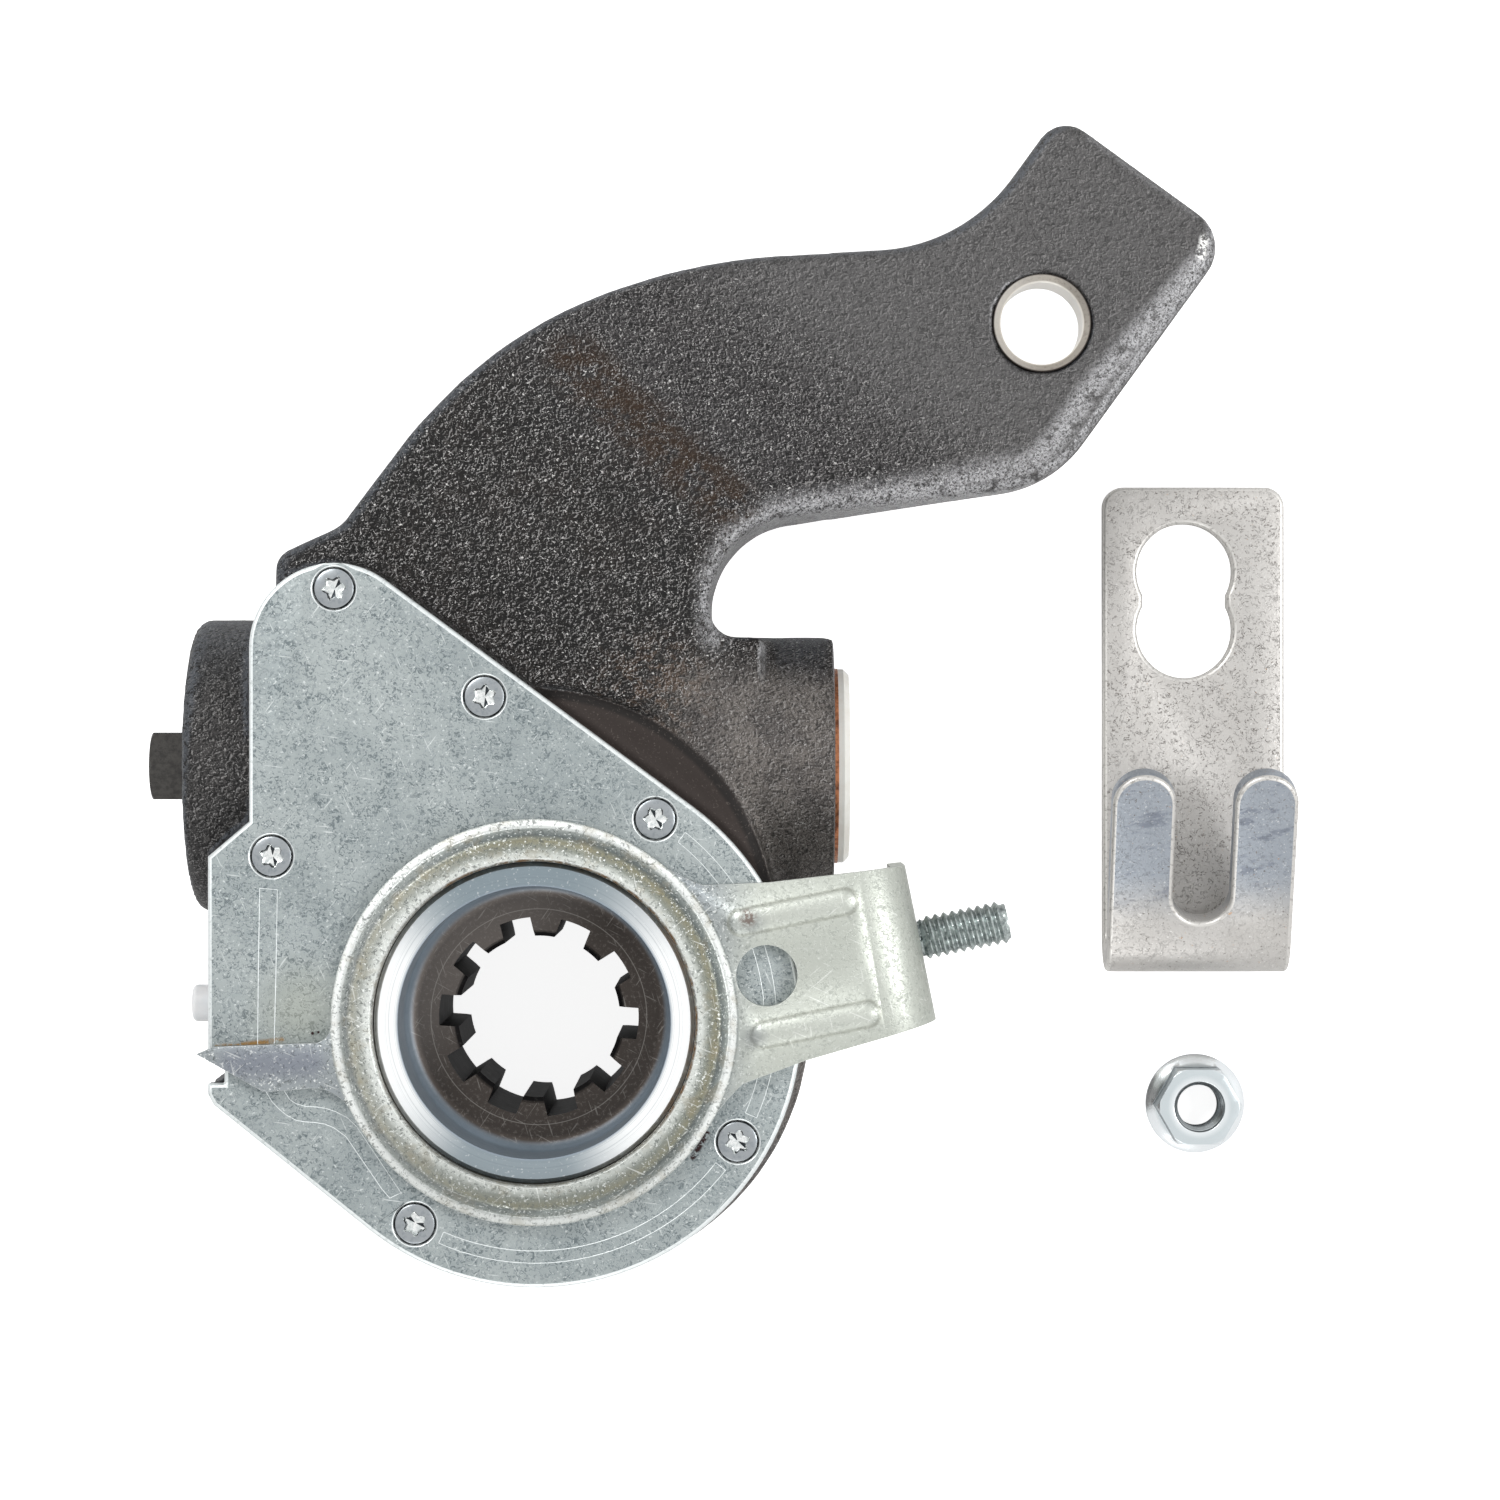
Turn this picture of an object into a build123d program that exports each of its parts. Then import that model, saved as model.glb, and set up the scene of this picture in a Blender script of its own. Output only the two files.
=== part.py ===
from build123d import *
from math import acos, asin, atan2, cos, degrees, hypot, pi, radians, sin, tan
import os

# Automatic slack adjuster of an S-cam drum brake, in millimetres.
# The origin is the centre of the splined bore, on its axis, in the mid-plane of the lever arm.
# +Z points out of the cover, and the worm shaft runs along X.

# Lever arm
arm_length = 165.1
arm_angle = 54.06
arm_tip_thickness = 12.7
arm_body_half = 21.0
arm_end_reach = 35.4
arm_half_width = 20.3
arm_left_extra = 1.0
arm_taper_start = 92.0
arm_taper_end = 146.0
arm_corner_radius = 8.0
arm_left_radius = 6.0
corner_run_share = 0.75
arm_edge_radius = 3.0
arm_throat_reach = 3.5
arm_throat_radius = 34.0
arm_heel_reach = 23.9
arm_heel_radius = 23.0
arm_shoulder_back = 47.8
arm_shoulder_left = 84.8
arm_shoulder_radius = 100.0
body_left = 50.3
body_corner_rise = 18.0
body_corner_radius = 4.0
body_top_rise = 23.8
body_top_radius = 6.0
bay_wall_x = 32.7
bay_top_y = 93.4
bay_top_radius = 17.5
bay_bottom_radius = 5.0
bay_floor_gap = 0.4

# Clevis bushing
bushing_radius = 9.5
pin_bore_radius = 7.95
bushing_proud = 0.4
bushing_chamfer = 1.3

# Hub and cover outline
hub_radius = 50.0
lobe_x = -37.7
lobe_y = 70.0
lobe_radius = 16.0
cover_left = 61.4
cover_shoulder_y = 30.9
cover_shoulder_rise = 6.6
corner_x = -60.3
corner_y = -15.7
corner_rise = 2.0
pointer_notch_y = -9.65
pointer_notch_height = 3.9
pointer_notch_depth = 3.1
cover_thickness = 2.5
gasket_thickness = 0.5
gasket_inset = 0.3
cover_seal_height = 1.8

# Housing
back_z = -30.0
pad_top = 28.8
pad_margin = 0.3
front_draft = 1.5
back_draft = 4.0
rim_shift = 1.5
rim_top = 21.0
ledge_x = -0.8
ledge_y = 16.6
ledge_radius = 46.3
ledge_top = 25.7
ledge_rounding = 1.5
left_boss_radius = 28.5
left_boss_end = 67.0
right_boss_radius = 25.1
right_boss_end = 56.5
boss_chamfer = 1.5

# Cover screws
screw_circle = 44.15
screw_first_angle = 59.3
lobe_screw_rise = 11.2
edge_screw_x = -9.5
edge_screw_y = 60.9
left_screw_x = -49.4
left_screw_y = 31.0
screw_head_radius = 4.0
screw_head_depth = 2.0
screw_shank_radius = 2.1
screw_length = 15.0
screw_rim_depth = 0.4
screw_clearance = 0.05
screw_hole_room = 1.0

# Camshaft spline, ten teeth for a 1.5 in shaft
spline_teeth = 10
spline_major_radius = 19.05
spline_minor_radius = 15.43
spline_space_width = 5.94
spline_half_length = 18.2
spline_turn = 32.0
spline_chamfer = 1.1

# Worm gearing
wheel_teeth = 24
gear_module = 2.8333
worm_pitch_radius = 13.8
gear_addendum = 2.6
gear_dedendum = 3.1
gear_half_width = 13.0
gear_backlash = 0.35
pressure_angle = 20.0
worm_half_length = 18.5
worm_core_margin = 1.5
worm_end_room = 1.5
thread_run_out = 0.8
thread_sink = 0.3

# Worm wheel hub
journal_radius = 30.0
collar_top = 35.0
recess_radius = 25.5
recess_fillet = 2.5
collar_chamfer = 0.8
running_clearance = 0.05
axial_clearance = 0.3
small_gap = 0.2
gear_tip_room = 0.6
overcut = 1.0
seal_width = 2.6
seal_depth = 1.8
seal_z = -24.0

# Control ring, arm and anchor stud
ring_outer_radius = 37.6
ring_lip = 0.4
bead_rise = 2.0
bead_foot_share = 0.16
bead_slope_share = 0.24
bead_bevel_share = 0.08
bead_rounding_share = 0.12
stamping_thickness = 2.8
stamping_gap = 0.2
control_angle = 11.4
control_reach = 74.0
control_tip_half = 14.85
control_waist_half = 17.0
control_waist_reach = 48.0
control_root_half = 18.9
control_root_reach = 36.0
fold_radius = 10.0
tab_bottom = 2.0
tab_corner_radius = 3.0
sight_hole_radius = 5.75
sight_hole_reach = 44.3
rib_offset = 10.7
rib_start = 38.9
rib_end = 64.0
rib_half_width = 2.9
rib_height = 1.1
flare_angle = 46.0
flare_depth = 1.4
pointer_reach = 63.1
pointer_tip_drop = 5.9
pointer_tip_bevel = 3.0
pointer_top_drop = 4.6
pointer_root_drop = 2.8
pointer_bottom_drop = 13.0
pointer_slope_reach = 50.4
pointer_root_rise = 3.1
pointer_top_blend = 3.2
pointer_bottom_blend = 8.0
stud_radius = 4.2
stud_z = 14.5
stud_length = 17.5
stud_head_radius = 6.5
stud_head_thickness = 1.6
stud_chamfer = 0.8
stud_neck_radius = 4.8
stud_relief_length = 0.4
stud_relief_depth = 0.6
sleeve_thickness = 3.85

# Control disc and rack drive
disc_thickness = 4.0
disc_rim = 3.0
rack_radius = 38.0
lug_radius = 2.4
lug_clearance = 0.6
slot_extra = 1.2
disc_lug_reach = 43.0
disc_lug_half_angle = 9.0
disc_lug_room = 0.8
disc_swing_room = 3.0
control_back_turn = 18.0
control_fore_turn = 4.0
pinion_teeth = 26
pinion_module = 1.0
pinion_backlash = 0.12
pinion_width = 9.0
rack_width = 7.0
rack_teeth = 8
rack_low_top = 20.8
rack_step_y = 30.0
rack_foot_y = -4.0
rack_side_clearance = 0.3
rack_foot_room = 1.0
rack_spring_radius = 2.0
rack_spring_wire = 0.4
rack_spring_length = 17.0
rack_spring_turns = 6

# Worm shaft, from the left end to the right
hex_across_flats = 13.0
hex_length = 8.2
hex_end = 76.2
hex_bevel = 1.0
hex_turn = 30.0
shaft_chamfer = 0.6
shaft_end_float = 0.1
stem_radius = 7.6
shaft_radius = 9.0
left_bore_radius = 17.5
worm_bore_radius = 17.0
right_bore_radius = 15.5
worm_seal_thickness = 2.6
left_bush_length = 20.0
clutch_hub_radius = 11.8
clutch_hub_length = 5.3
coupling_hub_length = 4.9
coupling_flange_radius = 15.0
coupling_flange_thickness = 3.0
one_way_wire = 1.9
one_way_turns = 4
one_way_clearance = 0.15
right_bush_length = 7.5
shaft_right_end = 32.0
spring_seat_thickness = 2.5
thrust_wire_radius = 1.5
thrust_coil_radius = 12.2
thrust_turns = 4
end_cap_radius = 18.9
end_cap_thickness = 2.2
end_cap_plug = 5.2
cap_plug_chamfer = 0.8
cap_rim_chamfer = 1.1
cap_gasket_thickness = 0.8
cap_gasket_proud = 0.1

# Grease plug
plug_y = 1.8
plug_z = 5.0
plug_radius = 3.6
plug_head_length = 5.4
plug_stem_radius = 2.5
plug_stem_length = 7.0
plug_spot_margin = 0.8
plug_head_rounding = 1.0

# Loose anchor bracket
bracket_width = 36.5
bracket_thickness = 5.0
bracket_x = 129.8
bracket_top_y = 103.9
bracket_bottom_y = 6.4
bracket_corner_radius = 4.0
bend_radius = 3.0
fork_rise = 22.0
fork_length = 37.0
fork_slot_width = 11.6
fork_slot_length = 31.5
eight_radius = 9.7
eight_spacing = 11.7
eight_waist = 17.0
eight_x = 128.0
eight_y = 81.0

# Loose flange nut
nut_x = 130.5
nut_y = -20.7
nut_across_flats = 15.0
nut_flange_radius = 10.0
nut_flange_rim = 0.9
nut_flange_rise = 1.6
nut_height = 9.5
nut_bevel = 0.7
nut_bore_radius = 4.25
nut_lead_in = 0.9
nut_turn = 0.0

# Places that follow from the sizes above
wheel_pitch_radius = wheel_teeth * gear_module / 2
worm_y = wheel_pitch_radius + worm_pitch_radius
worm_lead = pi * gear_module
worm_lead_slope = worm_lead / (2 * pi * worm_pitch_radius)
gear_bore_radius = wheel_pitch_radius + gear_addendum + gear_tip_room
gear_floor = -gear_half_width - axial_clearance
cover_bottom = pad_top + gasket_thickness
cover_top = cover_bottom + cover_thickness
stamping_bottom = cover_top + stamping_gap
stamping_top = stamping_bottom + stamping_thickness
bearing_bottom = gear_half_width + axial_clearance
sleeve_inner = journal_radius + running_clearance
ring_inner = journal_radius + 3 * running_clearance
sleeve_outer = sleeve_inner + sleeve_thickness
cover_hole_radius = sleeve_outer + 2 * running_clearance
disc_bottom = rack_low_top + axial_clearance
disc_top = disc_bottom + disc_thickness
disc_radius = sleeve_outer + disc_rim
pinion_radius = pinion_teeth * pinion_module / 2
rack_tooth_top = pinion_radius + 1.25 * pinion_module
rack_pitch = pi * pinion_module
rack_tall_top = pad_top - small_gap
cap_inner_x = right_boss_end + cap_gasket_thickness - end_cap_plug
left_seat_x = -left_boss_end + small_gap
left_bush_x = left_seat_x + worm_seal_thickness + small_gap
clutch_x = left_bush_x + left_bush_length + axial_clearance
clutch_teeth_x = -rack_radius - pinion_width / 2
clutch_hub_x = -rack_radius + pinion_width / 2
coupling_hub_x = clutch_hub_x + clutch_hub_length + axial_clearance
coupling_flange_x = coupling_hub_x + coupling_hub_length
right_bush_x = worm_half_length + worm_core_margin + worm_end_room
seat_x = shaft_right_end + shaft_end_float
seat_right_x = seat_x + spring_seat_thickness


def on_circle(radius, angle, center=(0.0, 0.0)):
    """Point at an angle in degrees on a circle."""
    return (center[0] + radius * cos(radians(angle)), center[1] + radius * sin(radians(angle)))


def turned_z(points):
    """Solid turned about Z from (radius, height) corners."""
    return revolve(make_face(Plane.XZ * Polyline(*points, close=True)), Axis.Z)


def turned_worm(points):
    """Solid turned about the worm axis from (x, radius) corners."""
    return Pos(0, worm_y, 0) * revolve(make_face(Polyline(*points, close=True)), Axis.X)


def ring_z(inner, outer, bottom, top):
    """Plain ring about Z."""
    return turned_z([(inner, bottom), (outer, bottom), (outer, top), (inner, top)])


def ring_worm(inner, outer, start, end):
    """Plain ring about the worm axis."""
    return turned_worm([(start, inner), (end, inner), (end, outer), (start, outer)])


def rod_z(radius, bottom, top, x=0.0, y=0.0):
    """Plain round bar along Z."""
    return Pos(x, y, bottom) * extrude(Circle(radius), amount=top - bottom)


def rod_worm(radius, start, end):
    """Plain round bar on the worm axis."""
    return Pos(start, worm_y, 0) * extrude(Plane.YZ * Circle(radius), amount=end - start)


def block(low, high):
    """Box between two corners."""
    size = [b - a for a, b in zip(low, high)]
    middle = [(a + b) / 2 for a, b in zip(low, high)]
    return Pos(*middle) * Box(*size)


def arm_point(along, across):
    """Point of the lever arm: along the line from the hub to the pin, and to its right."""
    turn = radians(arm_angle)
    return (along * cos(turn) + across * sin(turn), along * sin(turn) - across * cos(turn))


def limited_radius(radius, before, corner, after):
    """Corner radius, or less where the shorter run beside the corner has no room for it."""
    run_in = Vector(*corner) - Vector(*before)
    run_out = Vector(*after) - Vector(*corner)
    room = corner_run_share * min(run_in.length, run_out.length)
    return min(radius, room / tan(radians(run_in.get_angle(run_out)) / 2))


def screw_places():
    """Centres of the six cover screws."""
    places = [(lobe_x, lobe_y + lobe_screw_rise), (edge_screw_x, edge_screw_y), (left_screw_x, left_screw_y)]
    places += [on_circle(screw_circle, screw_first_angle - 90 * turn) for turn in range(3)]
    return places


def cover_face():
    """Outline of the cover: the hub circle, the upper lobe and the stepped left edge."""
    lobe = (lobe_x, lobe_y)
    normal = degrees(atan2(lobe_y, lobe_x)) - degrees(acos((hub_radius - lobe_radius) / hypot(*lobe)))
    corner_turn = degrees(atan2(corner_y, corner_x)) + 360
    touch = corner_turn + degrees(acos(hub_radius / hypot(corner_x, corner_y)))
    hub_start = on_circle(hub_radius, normal)
    hub_end = on_circle(hub_radius, touch)
    lobe_start = (lobe_x - lobe_radius, lobe_y)
    lobe_end = on_circle(lobe_radius, normal, lobe)
    left_edge = [
        hub_end,
        (corner_x, corner_y),
        (-cover_left, corner_y + corner_rise),
        (-cover_left, cover_shoulder_y),
        (lobe_start[0], cover_shoulder_y + cover_shoulder_rise),
        lobe_start,
    ]
    edges = [
        ThreePointArc(hub_start, on_circle(hub_radius, (normal + touch - 360) / 2), hub_end),
        Polyline(*left_edge),
        ThreePointArc(lobe_start, on_circle(lobe_radius, (180 + normal) / 2, lobe), lobe_end),
        Line(lobe_end, hub_start),
    ]
    return make_face(edges)


def arm_face():
    """Outline of the body behind the cover and of the lever arm, in the mid-plane."""
    tip = arm_length + arm_end_reach
    left = -arm_half_width - arm_left_extra
    bay_floor = worm_y + right_boss_radius - bay_floor_gap
    inside = bay_wall_x + 10.0
    corners = [
        ((-body_left, worm_y), 0),
        ((-body_left, lobe_y + body_corner_rise), body_corner_radius),
        ((lobe_x, lobe_y + body_top_rise), body_top_radius),
        (arm_point(arm_length - arm_shoulder_back, -arm_shoulder_left), arm_shoulder_radius),
        (arm_point(arm_length + arm_throat_reach, left), arm_throat_radius),
        (arm_point(tip, left), arm_left_radius),
        (arm_point(tip, arm_half_width), arm_corner_radius),
        (arm_point(arm_length - arm_heel_reach, arm_half_width), arm_heel_radius),
        ((bay_wall_x, bay_top_y), bay_top_radius),
        ((bay_wall_x, bay_floor), bay_bottom_radius),
        ((inside, bay_floor), 0),
        ((inside, worm_y), 0),
    ]
    points = [point for point, radius in corners]
    radii = []
    for place, (point, radius) in enumerate(corners):
        following = points[(place + 1) % len(points)]
        radii.append(limited_radius(radius, points[place - 1], point, following))
    return make_face(FilletPolyline(*points, radius=radii, close=True))


def arm_side_face():
    """Side view of the arm: as thick as the body at the hub, thinned to the clevis width."""
    tip = arm_tip_thickness / 2
    reach = arm_length + 2 * arm_end_reach
    upper = [
        Line((-60.0, arm_body_half), (arm_taper_start, arm_body_half)),
        Spline((arm_taper_start, arm_body_half), (arm_taper_end, tip), tangents=[(1, 0), (1, 0)]),
        Line((arm_taper_end, tip), (reach, tip)),
        Line((reach, tip), (reach, -tip)),
    ]
    lower = [
        Line((reach, -tip), (arm_taper_end, -tip)),
        Spline((arm_taper_end, -tip), (arm_taper_start, -arm_body_half), tangents=[(-1, 0), (-1, 0)]),
        Line((arm_taper_start, -arm_body_half), (-60.0, -arm_body_half)),
        Line((-60.0, -arm_body_half), (-60.0, arm_body_half)),
    ]
    return make_face(upper + lower)


def lever_arm():
    """The arm and the body that it grows out of."""
    plan = extrude(arm_face(), amount=2 * arm_body_half, both=True)
    side = Rot(0, 0, arm_angle) * extrude(Plane.XZ * arm_side_face(), amount=200, both=True)
    arm = plan & side
    low_edge = worm_y + left_boss_radius - arm_edge_radius
    rim = arm.edges().filter_by(
        lambda edge: edge.center().Y > low_edge and abs((edge @ 0).Z) > 1 and abs((edge @ 0).Z + (edge @ 1).Z) > 1
    )
    return fillet(rim, arm_edge_radius)


def housing_outside():
    """The casting before machining."""
    outline = offset(cover_face(), pad_margin + pad_top * tan(radians(front_draft)))
    shape = extrude(outline, amount=pad_top, taper=front_draft)
    shape += extrude(outline, amount=back_z, taper=back_draft)
    shape += rod_z(hub_radius + pad_margin, -rim_top, rim_top, rim_shift, 0)
    ledge = rod_z(ledge_radius, 0, ledge_top, ledge_x, ledge_y)
    shape += fillet(ledge.edges().group_by(Axis.Z)[-1], ledge_rounding)
    left = rod_worm(left_boss_radius, -left_boss_end, -rack_radius / 2)
    right = rod_worm(right_boss_radius, -rack_radius / 2, right_boss_end)
    shape += chamfer(left.edges().group_by(Axis.X)[0], boss_chamfer)
    shape += right
    shape += lever_arm()
    return shape


def rack_pocket():
    """Slot that the rack slides in, open to the cover, with room for its spring."""
    half = rack_width / 2 + rack_side_clearance
    bottom = pinion_radius - pinion_module - rack_side_clearance
    low_y = rack_foot_y - rack_radius * radians(control_fore_turn) - rack_foot_room
    return block((-rack_radius - half, low_y, bottom), (-rack_radius + half, rack_spring_end(), pad_top + overcut))


def disc_pocket():
    """Room for the control disc's driving lug."""
    inner = journal_radius - overcut
    reach = disc_lug_reach + disc_lug_room
    floor = disc_bottom - small_gap
    top = pad_top + overcut
    sweep = disc_lug_half_angle + disc_swing_room
    start = 180 - control_back_turn - sweep
    arc = control_back_turn + control_fore_turn + 2 * sweep
    profile = Plane.XZ * Polyline((inner, floor), (reach, floor), (reach, top), (inner, top), close=True)
    return Rot(0, 0, start) * revolve(make_face(profile), Axis.Z, arc)


def housing():
    """The casting, machined for the hub, the worm shaft, the rack, the cover and the clevis bushing."""
    shape = housing_outside()
    shape -= rod_z(journal_radius + running_clearance, back_z - overcut, gear_floor + overcut)
    shape -= rod_z(gear_bore_radius, gear_floor, pad_top + overcut)
    shape -= rod_worm(left_bore_radius, -left_boss_end - overcut, coupling_flange_x + coupling_flange_thickness)
    shape -= rod_worm(worm_bore_radius, coupling_flange_x, right_bush_x)
    shape -= rod_worm(right_bore_radius, right_bush_x - overcut, right_boss_end + overcut)
    shape -= rack_pocket()
    shape -= disc_pocket()
    pin_x, pin_y = arm_point(arm_length, 0)
    shape -= rod_z(bushing_radius, -arm_tip_thickness, arm_tip_thickness, pin_x, pin_y)
    for x, y in screw_places():
        shape -= rod_z(screw_shank_radius, cover_top - screw_length - screw_hole_room, pad_top + overcut, x, y)
    hole = extrude(Plane.YZ * Circle(plug_stem_radius), amount=plug_stem_length + overcut)
    spot = extrude(Plane.YZ * Circle(plug_radius + plug_spot_margin), amount=-plug_head_length)
    shape -= pointer_notch(back_z, pad_top)
    return shape - Pos(plug_seat_x(), plug_y, plug_z) * (hole + spot)


def plug_seat_x():
    """Left wall of the casting at the grease plug, with its draft."""
    wall = cover_left + pad_margin + (pad_top - plug_z) * tan(radians(front_draft))
    return -wall


def grease_plug():
    """Push-in plug with a rounded head."""
    seat = plug_seat_x()
    head = extrude(Plane.YZ * Circle(plug_radius), amount=-plug_head_length)
    head = fillet(head.edges().group_by(Axis.X)[0], plug_head_rounding)
    stem = extrude(Plane.YZ * Circle(plug_stem_radius), amount=plug_stem_length)
    return Pos(seat, plug_y, plug_z) * (head + stem)


def clevis_bushing():
    """Pressed bush with a wide lead-in at both ends."""
    pin_x, pin_y = arm_point(arm_length, 0)
    half = arm_tip_thickness / 2 + bushing_proud
    bore = pin_bore_radius
    profile = [
        (bore, -half + bushing_chamfer),
        (bore + bushing_chamfer, -half),
        (bushing_radius, -half),
        (bushing_radius, half),
        (bore + bushing_chamfer, half),
        (bore, half - bushing_chamfer),
    ]
    return Pos(pin_x, pin_y, 0) * turned_z(profile)


def pointer_notch(bottom, top):
    """Block that cuts the notch under the pointer's tip."""
    outside = -cover_left - pad_margin - pad_top * tan(radians(front_draft)) - overcut
    half = pointer_notch_height / 2
    low = (outside, pointer_notch_y - half, bottom - overcut)
    return block(low, (-cover_left + pointer_notch_depth, pointer_notch_y + half, top + overcut))


def cover_plate():
    """Flat cover with countersunk screw holes, the sleeve hole and the pointer's notch."""
    plate = Pos(0, 0, cover_bottom) * extrude(cover_face(), amount=cover_thickness)
    plate -= rod_z(cover_hole_radius, cover_bottom - overcut, cover_top + overcut)
    plate -= pointer_notch(cover_bottom, cover_top)
    for x, y in screw_places():
        plate -= Pos(x, y, 0) * screw_form(screw_clearance)
    return plate


def screw_form(clearance=0.0):
    """Flush screw: straight rim, cone and shank."""
    rim = screw_head_radius + clearance
    shank = screw_shank_radius + clearance
    top = cover_top + (overcut if clearance else 0.0)
    points = [
        (0, cover_top - screw_length),
        (shank, cover_top - screw_length),
        (shank, cover_top - screw_head_depth - clearance),
        (rim, cover_top - screw_rim_depth - clearance),
        (rim, top),
        (0, top),
    ]
    return turned_z(points)


def cover_screws():
    """Six equal screws."""
    return Compound([(Pos(x, y, 0) * screw_form()).solid() for x, y in screw_places()])


def cover_gasket():
    """Thin gasket under the cover."""
    face = offset(cover_face(), -gasket_inset) - Circle(gear_bore_radius)
    for x, y in screw_places():
        face -= Pos(x, y) * Circle(screw_shank_radius + small_gap)
    gasket = Pos(0, 0, pad_top) * extrude(face, amount=gasket_thickness)
    return gasket - pointer_notch(pad_top, cover_bottom)


def cover_seal():
    """Lip ring under the cover, round the control sleeve."""
    inner = sleeve_outer + running_clearance
    return ring_z(inner, gear_bore_radius - axial_clearance, cover_bottom - cover_seal_height, cover_bottom)


def involute(angle):
    """Involute function of an angle in radians."""
    return tan(angle) - angle


def half_tooth(radius, pitch_radius, pitch_half_angle):
    """Half the angle that an involute tooth covers at a radius."""
    base = pitch_radius * cos(radians(pressure_angle))
    reach = max(radius, base)
    return pitch_half_angle + involute(radians(pressure_angle)) - involute(acos(base / reach))


def gear_face(teeth, pitch_radius, addendum, dedendum, backlash):
    """Outline of a spur gear with a tooth centred on the Y axis."""
    tip = pitch_radius + addendum
    root = pitch_radius - dedendum
    half_pitch = pi / (2 * teeth) - backlash / (2 * pitch_radius)
    edges = []
    for tooth in range(teeth):
        middle = pi / 2 + 2 * pi * tooth / teeth
        following = middle + 2 * pi / teeth

        def point(radius, turn):
            return (radius * cos(turn), radius * sin(turn))

        spread = [half_tooth(radius, pitch_radius, half_pitch) for radius in (root, pitch_radius, tip)]
        right = [point(radius, middle - turn) for radius, turn in zip((root, pitch_radius, tip), spread)]
        left = [point(radius, middle + turn) for radius, turn in zip((root, pitch_radius, tip), spread)]
        next_root = point(root, following - spread[0])
        edges.append(ThreePointArc(*right))
        edges.append(ThreePointArc(right[2], point(tip, middle), left[2]))
        edges.append(ThreePointArc(left[2], left[1], left[0]))
        edges.append(ThreePointArc(left[0], point(root, middle + pi / teeth), next_root))
    return make_face(edges)


def spline_cutter():
    """The camshaft's outline: the minor circle with ten straight-sided keys."""
    outline = Circle(spline_minor_radius)
    key_length = spline_major_radius + overcut
    key = Pos(key_length / 2, 0) * Rectangle(key_length, spline_space_width)
    for tooth in range(spline_teeth):
        outline += Rot(0, 0, spline_turn + 360 * tooth / spline_teeth) * key
    return outline & Circle(spline_major_radius)


def worm_wheel():
    """Worm wheel with slanted teeth, two journals, two recesses and the splined bore."""
    slant = degrees(gear_half_width * worm_lead_slope / wheel_pitch_radius)
    face = gear_face(wheel_teeth, wheel_pitch_radius, gear_addendum, gear_dedendum, gear_backlash)
    bottom = Pos(0, 0, -gear_half_width) * Rot(0, 0, -slant) * face
    top = Pos(0, 0, gear_half_width) * Rot(0, 0, slant) * face
    rim = loft([bottom.face(), top.face()], ruled=True)
    rim -= rod_z(journal_radius - overcut, -gear_half_width - overcut, gear_half_width + overcut)
    seal_low = seal_z - seal_width / 2
    seal_high = seal_z + seal_width / 2
    floor = spline_half_length
    hub = turned_z([
        (0, back_z),
        (journal_radius - collar_chamfer, back_z),
        (journal_radius, back_z + collar_chamfer),
        (journal_radius, seal_low),
        (journal_radius - seal_depth, seal_low),
        (journal_radius - seal_depth, seal_high),
        (journal_radius, seal_high),
        (journal_radius, collar_top - collar_chamfer),
        (journal_radius - collar_chamfer, collar_top),
        (0, collar_top),
    ])
    front = rod_z(recess_radius, floor, collar_top + overcut)
    hub -= fillet(front.edges().group_by(Axis.Z)[0], recess_fillet)
    back = rod_z(recess_radius, back_z - overcut, -floor)
    hub -= fillet(back.edges().group_by(Axis.Z)[-1], recess_fillet)
    wheel = hub + rim
    wheel -= extrude(spline_cutter(), amount=floor + overcut, both=True)
    lead_in = spline_minor_radius + spline_chamfer
    cone = [
        (0, 0),
        (spline_minor_radius, floor - spline_chamfer),
        (lead_in, floor),
        (lead_in, floor + overcut),
        (0, floor + overcut),
    ]
    for side in (1, -1):
        wheel -= turned_z([(radius, side * height) for radius, height in cone])
    return wheel


def wheel_seal():
    """Ring in the groove of the rear journal."""
    outer = journal_radius + running_clearance / 2
    return ring_z(journal_radius - seal_depth, outer, seal_z - seal_width / 2, seal_z + seal_width / 2)


def wheel_bearing():
    """Front bearing ring of the wheel, flattened where the rack passes."""
    top = disc_bottom - small_gap
    ring = ring_z(journal_radius + running_clearance, gear_bore_radius, bearing_bottom, top)
    passing = -rack_radius + rack_width / 2 + rack_side_clearance
    return ring - block((-hub_radius, -hub_radius, 0), (passing, hub_radius, top + overcut))


def control_sleeve():
    """Tube that carries the control arm's turn down to the disc."""
    return ring_z(sleeve_inner, sleeve_outer, disc_bottom, stamping_bottom)


def control_disc():
    """Ring on the sleeve with a slotted lug that drives the rack."""
    ring = ring_z(sleeve_outer, disc_radius, disc_bottom, disc_top)
    half = disc_lug_half_angle
    middle = (sleeve_outer + disc_radius) / 2
    profile = Plane.XZ * Polyline(
        (middle, disc_bottom),
        (disc_lug_reach, disc_bottom),
        (disc_lug_reach, disc_top),
        (middle, disc_top),
        close=True,
    )
    ring += Rot(0, 0, 180 - half) * revolve(make_face(profile), Axis.Z, 2 * half)
    slot_half = lug_radius + lug_clearance
    slot_low = (-disc_lug_reach - overcut, -slot_half, disc_bottom - overcut)
    slot_high = (-rack_radius + slot_half + slot_extra, slot_half, disc_top + overcut)
    return ring - block(slot_low, slot_high)


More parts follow.
